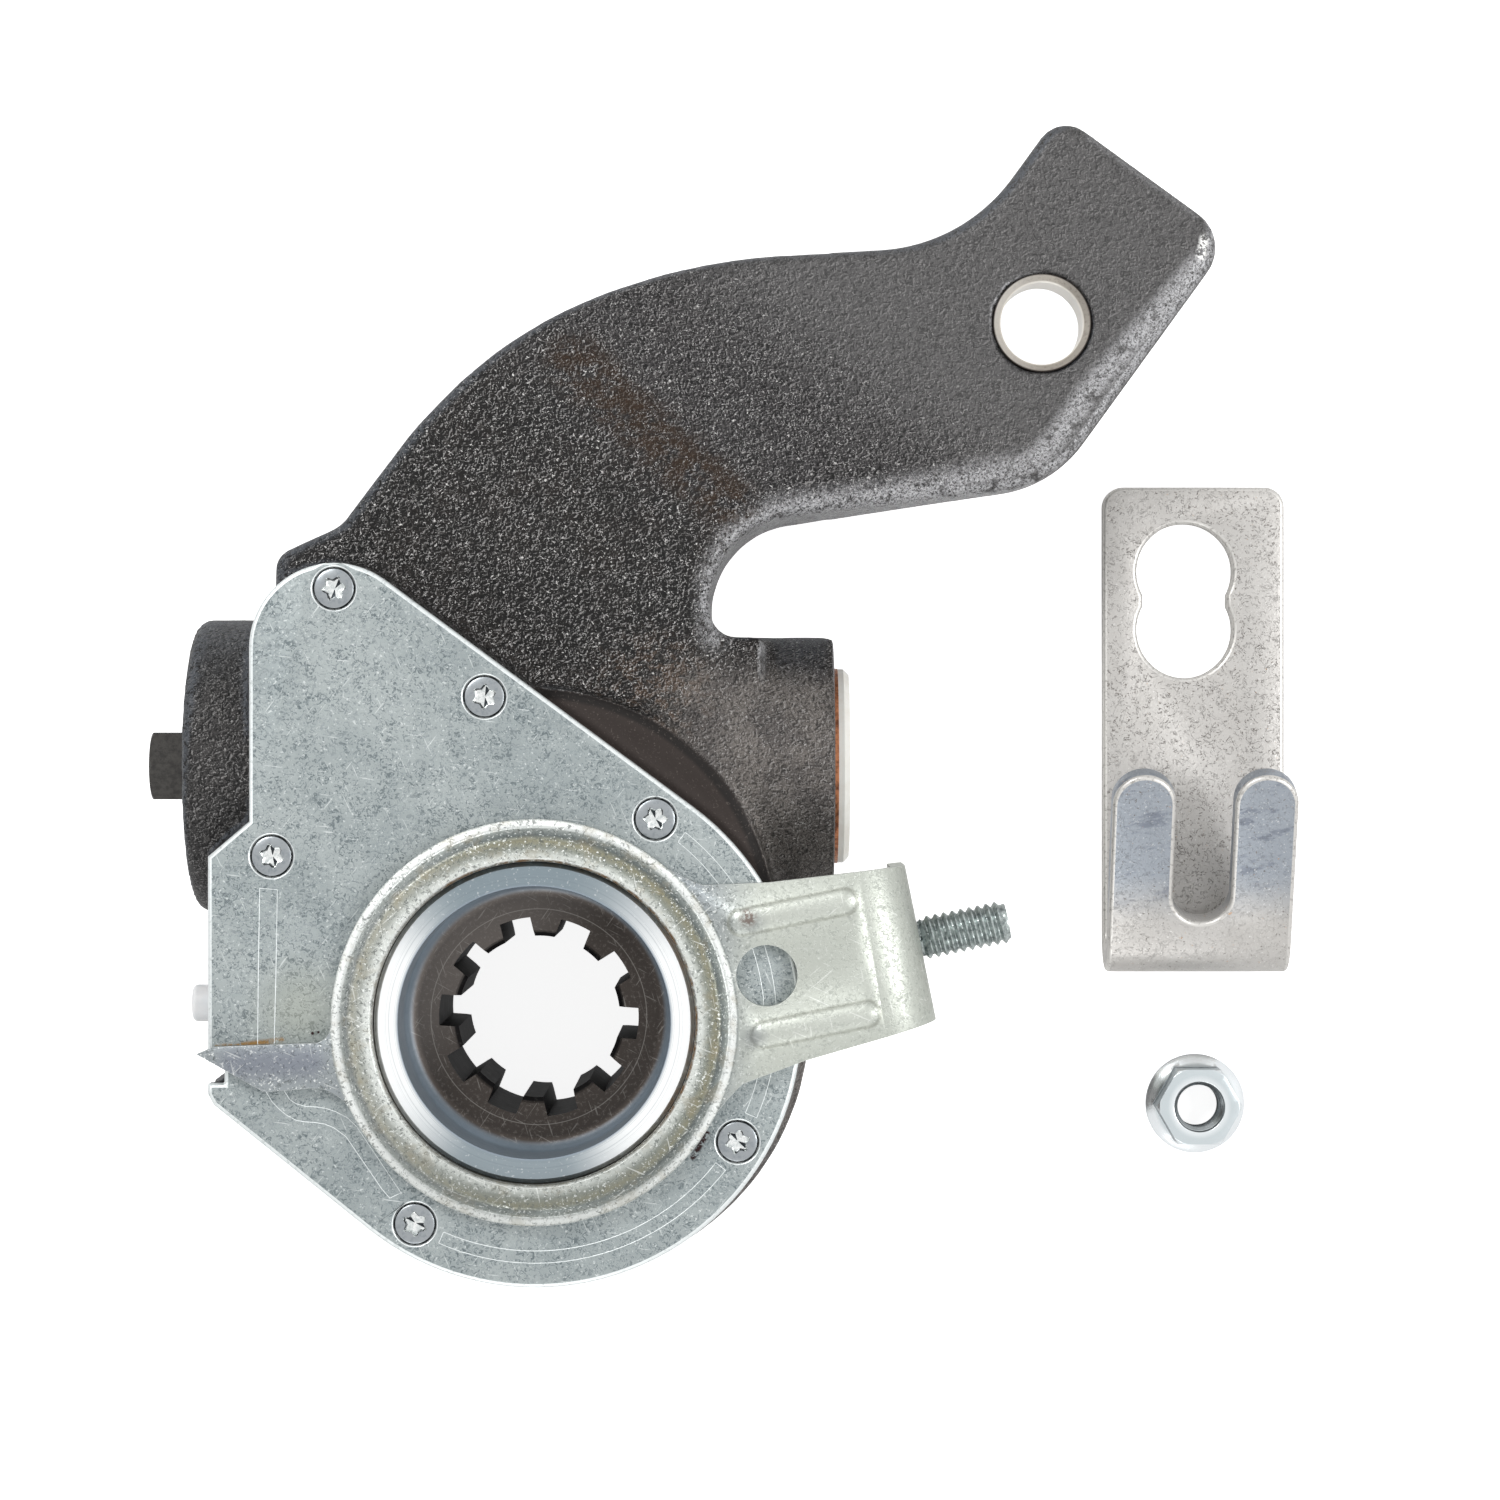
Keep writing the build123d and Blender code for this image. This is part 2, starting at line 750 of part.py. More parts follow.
def control_plan():
    """Plan of the stamping: the ring, the strap and the pointer."""
    ring = ring_outer_radius + ring_lip
    root = (control_root_reach, control_root_half)
    touch = on_circle(ring, flare_angle)
    hollow = ((root[0] + touch[0]) / 2 + flare_depth / 2, (root[1] + touch[1]) / 2 - flare_depth)
    side = [root, (control_waist_reach, control_waist_half), (control_reach, control_tip_half)]

    def mirrored(point):
        return (point[0], -point[1])

    edges = [
        ThreePointArc(touch, hollow, root),
        Polyline(*side),
        Line(side[-1], mirrored(side[-1])),
        Polyline(*[mirrored(point) for point in reversed(side)]),
        ThreePointArc(mirrored(root), mirrored(hollow), mirrored(touch)),
        Polyline(mirrored(touch), (0, 0), touch),
    ]
    strap = Rot(0, 0, control_angle) * make_face(edges)
    pointer = make_face(Polyline(
        (-journal_radius / 2, -pointer_root_drop),
        (-pointer_reach + pointer_tip_bevel, -pointer_top_drop),
        (-pointer_reach, -pointer_tip_drop),
        (-pointer_slope_reach, -pointer_bottom_drop),
        (-journal_radius / 2, pointer_root_rise - pointer_bottom_drop),
        close=True,
    ))
    plan = Circle(ring) + strap + pointer
    for drop, radius in ((pointer_root_drop, pointer_top_blend), (pointer_bottom_drop, pointer_bottom_blend)):
        meeting = on_circle(ring, 180 + degrees(asin(drop / ring)))
        plan = fillet(plan.vertices().sort_by_distance(meeting)[0], radius)
    plan -= Circle(ring_inner)
    hole_x, hole_y = on_circle(sight_hole_reach, control_angle)
    return plan - Pos(hole_x, hole_y) * Circle(sight_hole_radius)


def control_side_face():
    """Side view of the stamping along the strap, with its fold."""
    inner = fold_radius - stamping_thickness
    start = control_reach - fold_radius
    low = stamping_top - fold_radius
    back = -pointer_reach - overcut
    edges = [
        Line((back, stamping_top), (start, stamping_top)),
        ThreePointArc(
            (start, stamping_top), on_circle(fold_radius, 45, (start, low)), (control_reach, low)
        ),
        Line((control_reach, low), (control_reach, tab_bottom)),
        Line((control_reach, tab_bottom), (control_reach - stamping_thickness, tab_bottom)),
        Line((control_reach - stamping_thickness, tab_bottom), (control_reach - stamping_thickness, low)),
        ThreePointArc(
            (control_reach - stamping_thickness, low), on_circle(inner, 45, (start, low)), (start, stamping_bottom)
        ),
        Line((start, stamping_bottom), (back, stamping_bottom)),
        Line((back, stamping_bottom), (back, stamping_top)),
    ]
    return make_face(edges)


def control_rib(side):
    """Pressed rib: the cap of a long round bar with round ends."""
    radius = (rib_half_width**2 + rib_height**2) / (2 * rib_height)
    start = rib_start + rib_half_width
    end = rib_end - rib_half_width
    bar = Pos(start, 0, 0) * extrude(Plane.YZ * Circle(radius), amount=end - start)
    bar += Pos(start, 0, 0) * Sphere(radius) + Pos(end, 0, 0) * Sphere(radius)
    low = radius - rib_height - small_gap
    bar &= block((0, -radius, low), (control_reach, radius, radius + overcut))
    return Pos(0, side * rib_offset, stamping_top + rib_height - radius) * bar


def ring_bead():
    """Raised bead of the control ring: a flat crest that falls to a narrow flat foot."""
    width = ring_outer_radius - ring_inner
    crest = stamping_top + bead_rise
    foot = ring_outer_radius - bead_foot_share * width
    shoulder = foot - bead_slope_share * width
    bevel = bead_bevel_share * width
    rounding = bead_rounding_share * width
    profile = FilletPolyline(
        (ring_inner, stamping_bottom),
        (ring_inner, crest - bevel),
        (ring_inner + bevel, crest),
        (shoulder, crest),
        (foot, stamping_top),
        (ring_outer_radius, stamping_top),
        (ring_outer_radius, stamping_bottom),
        radius=[0, 0, 0, rounding, rounding / 2, 0, 0],
        close=True,
    )
    return revolve(Plane.XZ * make_face(profile), Axis.Z)


def control_arm():
    """Stamped control arm: bead ring, pointer, ribbed strap and folded tab."""
    plan = extrude(control_plan(), amount=stamping_top + overcut)
    side = Rot(0, 0, control_angle) * extrude(Plane.XZ * control_side_face(), amount=ring_outer_radius * 2, both=True)
    arm = plan & side
    arm += ring_bead()
    turn = Rot(0, 0, control_angle)
    for side_sign in (1, -1):
        arm += turn * control_rib(side_sign)
    tab_ends = arm.edges().group_by(Axis.Z)[0]
    tab_corners = tab_ends.filter_by(lambda edge: abs(edge.length - stamping_thickness) < small_gap)
    arm = fillet(tab_corners, tab_corner_radius)
    return arm - turn * stud_bar(stud_neck_radius, control_reach - fold_radius, control_reach + overcut)


def stud_bar(radius, start, end):
    """Round bar on the stud's axis, before the control arm's turn."""
    return Pos(start, 0, stud_z) * extrude(Plane.YZ * Circle(radius), amount=end - start)


def anchor_stud():
    """Stud clinched in the tab, with its head behind and a relief at the root of its thread."""
    inner_face = control_reach - stamping_thickness
    relief_end = control_reach + stud_relief_length
    shank = stud_bar(stud_radius, relief_end, control_reach + stud_length)
    shank = chamfer(shank.edges().group_by(Axis.X)[-1], stud_chamfer)
    relief = stud_bar(stud_radius - stud_relief_depth, inner_face, relief_end)
    neck = stud_bar(stud_neck_radius, inner_face, control_reach)
    head = stud_bar(stud_head_radius, inner_face - stud_head_thickness, inner_face)
    return Rot(0, 0, control_angle) * (shank + relief + neck + head)


def pinion_section():
    """Outline of the clutch pinion about the worm axis."""
    return gear_face(pinion_teeth, pinion_radius, pinion_module, 1.25 * pinion_module, pinion_backlash)


def clutch_wheel():
    """Pinion that the rack turns, with the hub that the one-way spring grips."""
    teeth = Pos(clutch_teeth_x, worm_y, 0) * extrude(Plane.YZ * pinion_section(), amount=pinion_width)
    hub = rod_worm(clutch_hub_radius, clutch_x, clutch_hub_x + clutch_hub_length)
    hub_end = clutch_hub_x + clutch_hub_length
    return teeth + hub - rod_worm(shaft_radius + running_clearance, clutch_x - overcut, hub_end + overcut)


def coupling_ring():
    """Ring on the worm shaft that the one-way spring drives."""
    flange_end = coupling_flange_x + coupling_flange_thickness
    ring = ring_worm(shaft_radius, clutch_hub_radius, coupling_hub_x, coupling_flange_x)
    return ring + ring_worm(shaft_radius, coupling_flange_radius, coupling_flange_x, flange_end)


def coil(section, radius, pitch, turns):
    """Section swept along a helix about Z, from height 0."""
    path = Helix(pitch=pitch, height=pitch * turns, radius=radius)
    start = Plane(origin=path @ 0, z_dir=path % 0, x_dir=(1, 0, 0))
    return sweep(start * section, path=path, is_frenet=True)


def one_way_spring():
    """Square-wire spring over the clutch hub and the coupling hub."""
    wire = one_way_wire
    start = clutch_hub_x + wire / 2 + axial_clearance
    end = coupling_flange_x - wire / 2 - axial_clearance
    pitch = (end - start) / one_way_turns
    radius = clutch_hub_radius + one_way_clearance + wire / 2
    spring = coil(Rectangle(wire, wire), radius, pitch, one_way_turns)
    return Pos(start, worm_y, 0) * Rot(0, 90, 0) * spring


def thrust_spring():
    """Load spring between the spring seat and the end cap."""
    start = seat_right_x + thrust_wire_radius
    end = cap_inner_x - thrust_wire_radius
    pitch = (end - start) / thrust_turns
    spring = coil(Circle(thrust_wire_radius), thrust_coil_radius, pitch, thrust_turns)
    return Pos(start, worm_y, 0) * Rot(0, 90, 0) * spring


def rack_spring_end():
    """Upper end of the rack's pocket, where its spring rests."""
    return rack_head_y() + rack_spring_length + rack_spring_wire


def rack_head_y():
    """Upper end of the rack."""
    return worm_y + rack_teeth / 2 * rack_pitch - rack_pitch / 4


def rack_spring():
    """Light spring that pushes the rack down."""
    height = rack_spring_length - rack_spring_wire
    spring = coil(Circle(rack_spring_wire), rack_spring_radius, height / rack_spring_turns, rack_spring_turns)
    middle = (rack_tooth_top + rack_tall_top) / 2
    return Pos(-rack_radius, rack_head_y() + rack_spring_wire, middle) * Rot(-90, 0, 0) * spring


def rack():
    """Rack bar: teeth on the pinion, a tall guided head and a low foot with the driving pin."""
    half = rack_width / 2
    head = rack_head_y()
    bar = block((-rack_radius - half, rack_foot_y, rack_tooth_top), (-rack_radius + half, head, rack_low_top))
    bar += block((-rack_radius - half, rack_step_y, rack_tooth_top), (-rack_radius + half, head, rack_tall_top))
    tip_z = pinion_radius - pinion_module
    slope = tan(radians(pressure_angle))
    mid_half = rack_pitch / 4 - pinion_backlash / 2
    tip_half = mid_half - pinion_module * slope
    root_half = mid_half + (rack_tooth_top - pinion_radius) * slope
    tooth = make_face(Polyline(
        (-root_half, rack_tooth_top + small_gap),
        (-root_half, rack_tooth_top),
        (-tip_half, tip_z),
        (tip_half, tip_z),
        (root_half, rack_tooth_top),
        (root_half, rack_tooth_top + small_gap),
        close=True,
    ))
    for index in range(rack_teeth):
        y = worm_y + (index - rack_teeth / 2 - 0.5) * rack_pitch
        bar += Pos(-rack_radius - half, y, 0) * extrude(Plane.YZ * tooth, amount=rack_width)
    return bar + rod_z(lug_radius, rack_low_top - overcut, disc_top - small_gap / 2, -rack_radius, 0)


def worm_thread():
    """Single-start thread of the worm, on the worm axis."""
    slope = tan(radians(pressure_angle))
    mid_half = worm_lead / 4 - gear_backlash / 2
    tip = gear_addendum
    root = gear_dedendum + thread_sink
    section = make_face(Polyline(
        (-root, -mid_half - root * slope), (tip, -mid_half + tip * slope),
        (tip, mid_half - tip * slope), (-root, mid_half + root * slope), close=True,
    ))
    turns = 2 * worm_half_length / worm_lead - thread_run_out
    path = Helix(pitch=worm_lead, height=worm_lead * turns, radius=worm_pitch_radius)
    start = Plane(origin=(worm_pitch_radius, 0, 0), x_dir=(1, 0, 0), z_dir=(0, -1, 0))
    thread = sweep(start * section, path=path, is_frenet=True)
    first_x = -worm_lead * turns / 2
    phase = 360 * (first_x - worm_lead / 2) / worm_lead
    return Pos(first_x, worm_y, 0) * Rot(phase + 180, 0, 0) * Rot(0, 90, 0) * Rot(0, 0, 90) * thread


def worm_shaft():
    """Worm shaft with its adjusting hexagon, journals and thread."""
    root = worm_pitch_radius - gear_dedendum
    stem_end = left_bush_x
    core_half = worm_half_length + worm_core_margin
    shaft = turned_worm([
        (-hex_end + hex_length, 0),
        (-hex_end + hex_length, stem_radius),
        (stem_end, stem_radius),
        (stem_end, shaft_radius),
        (-core_half, shaft_radius),
        (-core_half, root - shaft_chamfer),
        (-core_half + shaft_chamfer, root),
        (core_half - shaft_chamfer, root),
        (core_half, root - shaft_chamfer),
        (core_half, shaft_radius),
        (shaft_right_end - shaft_chamfer, shaft_radius),
        (shaft_right_end, shaft_radius - shaft_chamfer),
        (shaft_right_end, 0),
    ])
    hexagon = Plane.YZ * Rot(0, 0, hex_turn) * RegularPolygon(hex_across_flats / 2, 6, major_radius=False)
    head = Pos(-hex_end, worm_y, 0) * extrude(hexagon, amount=hex_length + overcut)
    corner = hex_across_flats / 2 / cos(pi / 6)
    inner_end = -hex_end + hex_length + 2 * overcut
    crown = turned_worm([
        (-hex_end, 0),
        (-hex_end, corner - hex_bevel),
        (-hex_end + hex_bevel, corner + hex_bevel / 2),
        (inner_end, corner + hex_bevel / 2),
        (inner_end, 0),
    ])
    return shaft + (head & crown) + worm_thread()


def worm_bush_left():
    """Long plain bearing in the left boss."""
    return ring_worm(shaft_radius + running_clearance, left_bore_radius, left_bush_x, left_bush_x + left_bush_length)


def worm_bush_right():
    """Short plain bearing in the right boss."""
    end = right_bush_x + right_bush_length
    return ring_worm(shaft_radius + running_clearance, right_bore_radius, right_bush_x, end)


def worm_seal():
    """Seal ring in the mouth of the left boss."""
    inner = stem_radius + running_clearance
    return ring_worm(inner, left_bore_radius, left_seat_x, left_seat_x + worm_seal_thickness)


def spring_seat():
    """Thrust washer between the shaft end and the load spring."""
    return rod_worm(right_bore_radius - running_clearance, seat_x, seat_right_x)


def end_cap():
    """Screwed cap of the right boss."""
    flange_x = right_boss_end + cap_gasket_thickness
    flange_end = flange_x + end_cap_thickness
    return turned_worm([
        (cap_inner_x, 0),
        (cap_inner_x, right_bore_radius - cap_plug_chamfer),
        (cap_inner_x + cap_plug_chamfer, right_bore_radius),
        (flange_x, right_bore_radius),
        (flange_x, end_cap_radius),
        (flange_end - cap_rim_chamfer, end_cap_radius),
        (flange_end, end_cap_radius - cap_rim_chamfer),
        (flange_end, 0),
    ])


def end_cap_gasket():
    """Copper ring under the cap's flange."""
    outer = end_cap_radius + cap_gasket_proud
    return ring_worm(right_bore_radius, outer, right_boss_end, right_boss_end + cap_gasket_thickness)


def bracket_profile():
    """Side view of the bracket: the flat plate, the bend and the rising fork."""
    outer = bend_radius + bracket_thickness
    middle_y = bracket_bottom_y + outer
    middle_z = back_z + outer
    end_turn = 90 + fork_rise
    reach_y = fork_length * cos(radians(fork_rise))
    reach_z = fork_length * sin(radians(fork_rise))
    middle = (middle_y, middle_z)
    inner_end = on_circle(bend_radius, end_turn, middle)
    outer_end = on_circle(outer, end_turn, middle)
    inner_tip = (inner_end[0] + reach_y, inner_end[1] + reach_z)
    outer_tip = (outer_end[0] + reach_y, outer_end[1] + reach_z)
    half_turn = (270 + end_turn) / 2
    edges = [
        Line((bracket_top_y, back_z), (middle_y, back_z)),
        ThreePointArc((middle_y, back_z), on_circle(outer, half_turn, middle), outer_end),
        Line(outer_end, outer_tip),
        Line(outer_tip, inner_tip),
        Line(inner_tip, inner_end),
        ThreePointArc(inner_end, on_circle(bend_radius, half_turn, middle), (middle_y, back_z + bracket_thickness)),
        Line((middle_y, back_z + bracket_thickness), (bracket_top_y, back_z + bracket_thickness)),
        Line((bracket_top_y, back_z + bracket_thickness), (bracket_top_y, back_z)),
    ]
    return make_face(edges)


def fork_waste():
    """What is cut from the rising leg, in its own plane: the slot and the round finger ends."""
    finger = (bracket_width - fork_slot_width) / 2
    slot_middle = fork_length - fork_slot_length + fork_slot_width / 2
    slot_run = fork_length - slot_middle + overcut
    waste = Pos(0, slot_middle) * Circle(fork_slot_width / 2)
    waste += Pos(0, slot_middle + slot_run / 2) * Rectangle(fork_slot_width, slot_run)
    for side in (-1, 1):
        x = side * (fork_slot_width + finger) / 2
        end = fork_length - finger / 2
        corner = Pos(x, end + finger / 2) * Rectangle(finger + 2 * overcut, finger)
        waste += corner - Pos(x, end) * Circle(finger / 2)
    return waste


def anchor_bracket():
    """Folded strap with the figure-eight hole and the fork for the anchor stud."""
    half = bracket_width / 2
    strap = Pos(bracket_x - half, 0, 0) * extrude(Plane.YZ * bracket_profile(), amount=bracket_width)
    for spread in (-1, 1):
        hole_y = eight_y + spread * eight_spacing / 2
        strap -= rod_z(eight_radius, back_z - overcut, back_z + bracket_thickness + overcut, eight_x, hole_y)
    strap -= Pos(eight_x, eight_y, back_z) * Box(eight_waist, eight_spacing / 2, 3 * bracket_thickness)
    corners = strap.edges().filter_by(Axis.Z).group_by(Axis.Y)[-1]
    strap = fillet(corners, bracket_corner_radius)
    outer = bend_radius + bracket_thickness
    foot = on_circle(outer, 90 + fork_rise, (bracket_bottom_y + outer, back_z + outer))
    fork = Plane(
        origin=(bracket_x, foot[0], foot[1]),
        x_dir=(1, 0, 0),
        z_dir=(0, -sin(radians(fork_rise)), cos(radians(fork_rise))),
    )
    fork_plan = fork_waste()
    waste = Pos(0, 0, -bracket_thickness - overcut) * extrude(fork_plan, amount=bracket_thickness + 2 * overcut)
    return strap - fork * waste


def lock_nut():
    """Flange nut, lying on its flange."""
    top = back_z + nut_height
    hexagon = Rot(0, 0, nut_turn) * RegularPolygon(nut_across_flats / 2, 6, major_radius=False)
    body = Pos(0, 0, back_z) * extrude(hexagon, amount=nut_height)
    corner = nut_across_flats / 2 / cos(pi / 6)
    body &= turned_z([
        (0, back_z),
        (corner + nut_bevel, back_z),
        (corner + nut_bevel, top - 2 * nut_bevel),
        (corner - nut_bevel, top),
        (0, top),
    ])
    rim = back_z + nut_flange_rim
    flange = turned_z([
        (0, back_z),
        (nut_flange_radius - small_gap, back_z),
        (nut_flange_radius, back_z + small_gap),
        (nut_flange_radius, rim),
        (nut_across_flats / 2, rim + nut_flange_rise),
        (0, rim + nut_flange_rise),
    ])
    nut = body + flange - rod_z(nut_bore_radius, back_z - overcut, top + overcut)
    lead = nut_bore_radius + nut_lead_in
    nut -= turned_z([
        (0, top + overcut),
        (lead, top + overcut),
        (lead, top),
        (nut_bore_radius, top - nut_lead_in),
        (0, top - nut_lead_in),
    ])
    return Pos(nut_x, nut_y, 0) * nut


parts = {
    "housing": housing,
    "clevis_bushing": clevis_bushing,
    "cover_plate": cover_plate,
    "cover_gasket": cover_gasket,
    "cover_seal": cover_seal,
    "cover_screws": cover_screws,
    "grease_plug": grease_plug,
    "end_cap": end_cap,
    "end_cap_gasket": end_cap_gasket,
    "thrust_spring": thrust_spring,
    "spring_seat": spring_seat,
    "worm_bush_left": worm_bush_left,
    "worm_bush_right": worm_bush_right,
    "worm_seal": worm_seal,
    "wheel_bearing": wheel_bearing,
    "rack_spring": rack_spring,
    "worm_wheel": worm_wheel,
    "wheel_seal": wheel_seal,
    "worm_shaft": worm_shaft,
    "coupling_ring": coupling_ring,
    "clutch_wheel": clutch_wheel,
    "one_way_spring": one_way_spring,
    "rack": rack,
    "control_arm": control_arm,
    "control_sleeve": control_sleeve,
    "control_disc": control_disc,
    "anchor_stud": anchor_stud,
    "anchor_bracket": anchor_bracket,
    "lock_nut": lock_nut,
}

os.makedirs("parts", exist_ok=True)
for name, make in parts.items():
    export_step(make(), f"parts/{name}.step")
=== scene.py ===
import bpy
from math import atan2, cos, hypot, pi, radians, sin
from mathutils import Matrix, Vector


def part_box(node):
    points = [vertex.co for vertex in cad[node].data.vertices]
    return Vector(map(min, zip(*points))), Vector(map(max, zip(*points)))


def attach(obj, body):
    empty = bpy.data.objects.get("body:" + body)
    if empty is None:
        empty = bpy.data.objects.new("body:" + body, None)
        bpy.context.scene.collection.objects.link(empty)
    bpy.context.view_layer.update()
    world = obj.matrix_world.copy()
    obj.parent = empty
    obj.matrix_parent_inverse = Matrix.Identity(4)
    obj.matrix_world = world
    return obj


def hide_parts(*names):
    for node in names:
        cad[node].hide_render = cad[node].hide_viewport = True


# Slack adjuster with its loose anchor bracket and flange nut, seen from straight above.
# Lengths in the dictionaries are in millimetres, the scene itself is in metres.
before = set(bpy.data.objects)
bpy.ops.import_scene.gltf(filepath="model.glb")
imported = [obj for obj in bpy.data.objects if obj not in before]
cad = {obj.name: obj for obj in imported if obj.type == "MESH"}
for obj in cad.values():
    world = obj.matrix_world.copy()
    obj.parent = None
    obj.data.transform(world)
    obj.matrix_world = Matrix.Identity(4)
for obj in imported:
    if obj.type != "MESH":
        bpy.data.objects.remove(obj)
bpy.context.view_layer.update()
mm = 0.001
scene = bpy.context.scene
print("frame loaded:", len(cad), "nodes")


# shader maths
class Wire:
    # an output socket; arithmetic on it adds Math nodes
    def __init__(self, finish, socket):
        self.finish = finish
        self.socket = socket

    def sum(self, kind, a, b):
        return self.finish.add("ShaderNodeMath", {"operation": kind}, {0: a, 1: b})

    def __add__(self, other):
        return self.sum("ADD", self, other)

    __radd__ = __add__

    def __mul__(self, other):
        return self.sum("MULTIPLY", self, other)

    __rmul__ = __mul__

    def __sub__(self, other):
        return self.sum("SUBTRACT", self, other)

    def __rsub__(self, other):
        return self.sum("SUBTRACT", other, self)

    def __truediv__(self, other):
        return self.sum("DIVIDE", self, other)

    def __pow__(self, other):
        return self.sum("POWER", self, other)

    def __neg__(self):
        return self.sum("MULTIPLY", self, -1.0)

    def __abs__(self):
        return self.sum("ABSOLUTE", self, 0.0)

    def least(self, other):
        return self.sum("MINIMUM", self, other)

    def most(self, other):
        return self.sum("MAXIMUM", self, other)


def tone(red, green, blue):
    # an sRGB colour, 0 to 255, as the linear colour that a socket takes
    def linear(level):
        level = level / 255
        return level / 12.92 if level <= 0.04045 else ((level + 0.055) / 1.055) ** 2.4
    return (linear(red), linear(green), linear(blue), 1.0)


class Finish:
    # a material while it is being made, with its coordinates in millimetres
    def __init__(self, name):
        self.material = bpy.data.materials.new(name)
        self.material.use_nodes = True
        self.tree = self.material.node_tree
        self.tree.nodes.clear()
        place = self.add("ShaderNodeTexCoord", {}, {}, "Object")
        self.place = self.add("ShaderNodeMapping", {}, {"Vector": place, "Scale": (1000, 1000, 1000)})
        parts = self.tree.nodes.new("ShaderNodeSeparateXYZ")
        self.tree.links.new(self.place.socket, parts.inputs[0])
        self.x, self.y, self.z = [Wire(self, parts.outputs[k]) for k in range(3)]

    def add(self, kind, settings, values, output=0):
        node = self.tree.nodes.new(kind)
        for key, value in settings.items():
            if key == "stops":
                ramp = node.color_ramp
                while len(ramp.elements) < len(value):
                    ramp.elements.new(0.5)
                for element, (position, level) in zip(ramp.elements, value):
                    element.position = position
                    element.color = tone(*level)
            else:
                setattr(node, key, value)
        for key, value in values.items():
            if isinstance(value, Wire):
                self.tree.links.new(value.socket, node.inputs[key])
            else:
                node.inputs[key].default_value = value
        return Wire(self, node.outputs[output]) if node.outputs else None

    def noise(self, size, detail, rough, shift=(0, 0, 0), stretch=(1, 1, 1), turn=0.0, warp=0.0):
        # noise whose blobs are about size millimetres across, turned first and then stretched
        vector = self.add("ShaderNodeMapping", {"vector_type": "TEXTURE"},
                          {"Vector": self.place, "Location": shift, "Rotation": (0, 0, radians(turn)),
                           "Scale": tuple(1.0 / part for part in stretch)})
        return self.add("ShaderNodeTexNoise", {}, {"Vector": vector, "Scale": 1.0 / size, "Detail": detail,
                                                   "Roughness": rough, "Distortion": warp})

    def step(self, value, low, high):
        # 0 below low, 1 above high, smooth between
        return self.add("ShaderNodeMapRange", {"interpolation_type": "SMOOTHSTEP"},
                        {0: value, 1: low, 2: high, 3: 0.0, 4: 1.0})

    def blend(self, share, first, second):
        # a share of the second colour over the first; a plain colour is given as 0 to 255
        first, second = [tone(*colour) if isinstance(colour, tuple) else colour for colour in (first, second)]
        return self.add("ShaderNodeMix", {"data_type": "RGBA"}, {0: share, 6: first, 7: second}, 2)

    def facing(self, axis):
        # how far the surface faces along X, Y or Z, -1 to 1
        normal = self.add("ShaderNodeTexCoord", {}, {}, "Normal")
        return self.add("ShaderNodeSeparateXYZ", {}, {0: normal}, axis)

    def reach(self, x, y):
        # distance in the plan from a point, in millimetres
        dx = self.x - x
        dy = self.y - y
        return (dx * dx + dy * dy) ** 0.5

    def patch(self, x, y, radius, soft):
        return 1 - self.step(self.reach(x, y), radius - soft, radius + soft)

    def ring(self, radius, at, half, soft):
        return 1 - self.step(abs(radius - at), half - soft, half + soft)

    def stroke(self, x1, y1, x2, y2, half, soft):
        # 1 near the line between two points of the plan
        dx, dy = x2 - x1, y2 - y1
        share = (((self.x - x1) * dx + (self.y - y1) * dy) / (dx * dx + dy * dy)).most(0.0).least(1.0)
        offX = self.x - (share * dx + x1)
        offY = self.y - (share * dy + y1)
        return 1 - self.step((offX * offX + offY * offY) ** 0.5, half - soft, half + soft)

    def scratches(self, angles, low, high, size):
        # short straight scratches in a few directions, 0 to 1
        lines = 0.0
        for index, angle in enumerate(angles):
            streak = self.noise(size, 1.0, 0.4, shift=(31 * index, 17 * index, 0), stretch=(1, 0.05, 0.3),
                                turn=angle)
            lines = self.step(streak, low, high) + lines
        return lines.least(1.0)

    def bump(self, height, depth):
        return self.add("ShaderNodeBump", {}, {"Height": height, "Distance": depth * mm, "Strength": 1.0})

    def done(self, colour, rough, metal, normal):
        shader = self.add("ShaderNodeBsdfPrincipled", {}, {"Base Color": colour, "Roughness": rough,
                                                           "Metallic": metal, "Normal": normal})
        self.add("ShaderNodeOutputMaterial", {}, {"Surface": shader})
        return self.material


# materials: colours are 0 to 255, places and lines are plan millimetres
castLook = {
    "black": (14, 13, 12), "brown": (25, 20, 17), "neck": (62, 60, 61), "tip": (84, 83, 83),
    "left": (62, 61, 61), "boss": (100, 95, 91), "bossDark": (76, 72, 70), "warm": (96, 76, 60),
    "stain": (44, 28, 12), "pit": (6, 6, 6), "crest": (150, 146, 143), "embossHighlight": (190, 188, 187),
    "sunk": (8, 8, 8), "fleckGlint": (236, 234, 232), "litEdge": (182, 182, 184), "coolShade": (84, 89, 96),
    "endHighlight": (222, 222, 220), "ledge": (52, 45, 42), "dropShadow": (20, 18, 17), "dust": (150, 140, 132),
    "hub": (-0.8, 16.6), "armTurn": 54.06, "grain": 0.85, "depth": 0.40, "metal": 0.6,
    "stainLine": (7.0, 125.0, 36.0, 98.0), "endHighlightLine": (127.6, 146.6, 128.4, 149.9),
    "lip": (106.0, 169.6, 126.6, 154.6), "warmPatch": (22.0, 62.0, 9.0, 7.0),
    # rim, band and lip: lines of painted highlight along lit edges
    "rim": ((94.6, 106.3, 76, 102), (76, 102, 60, 99), (60, 99, 46, 96.5), (46, 96.5, 37, 91),
            (37, 91, 33, 83), (33, 83, 33.5, 73)),
    "bandHighlights": ((127.8, 145.6, 105.3, 119.6), (105.3, 119.6, 99.5, 111.0), (99.5, 111.0, 94.6, 106.3))}


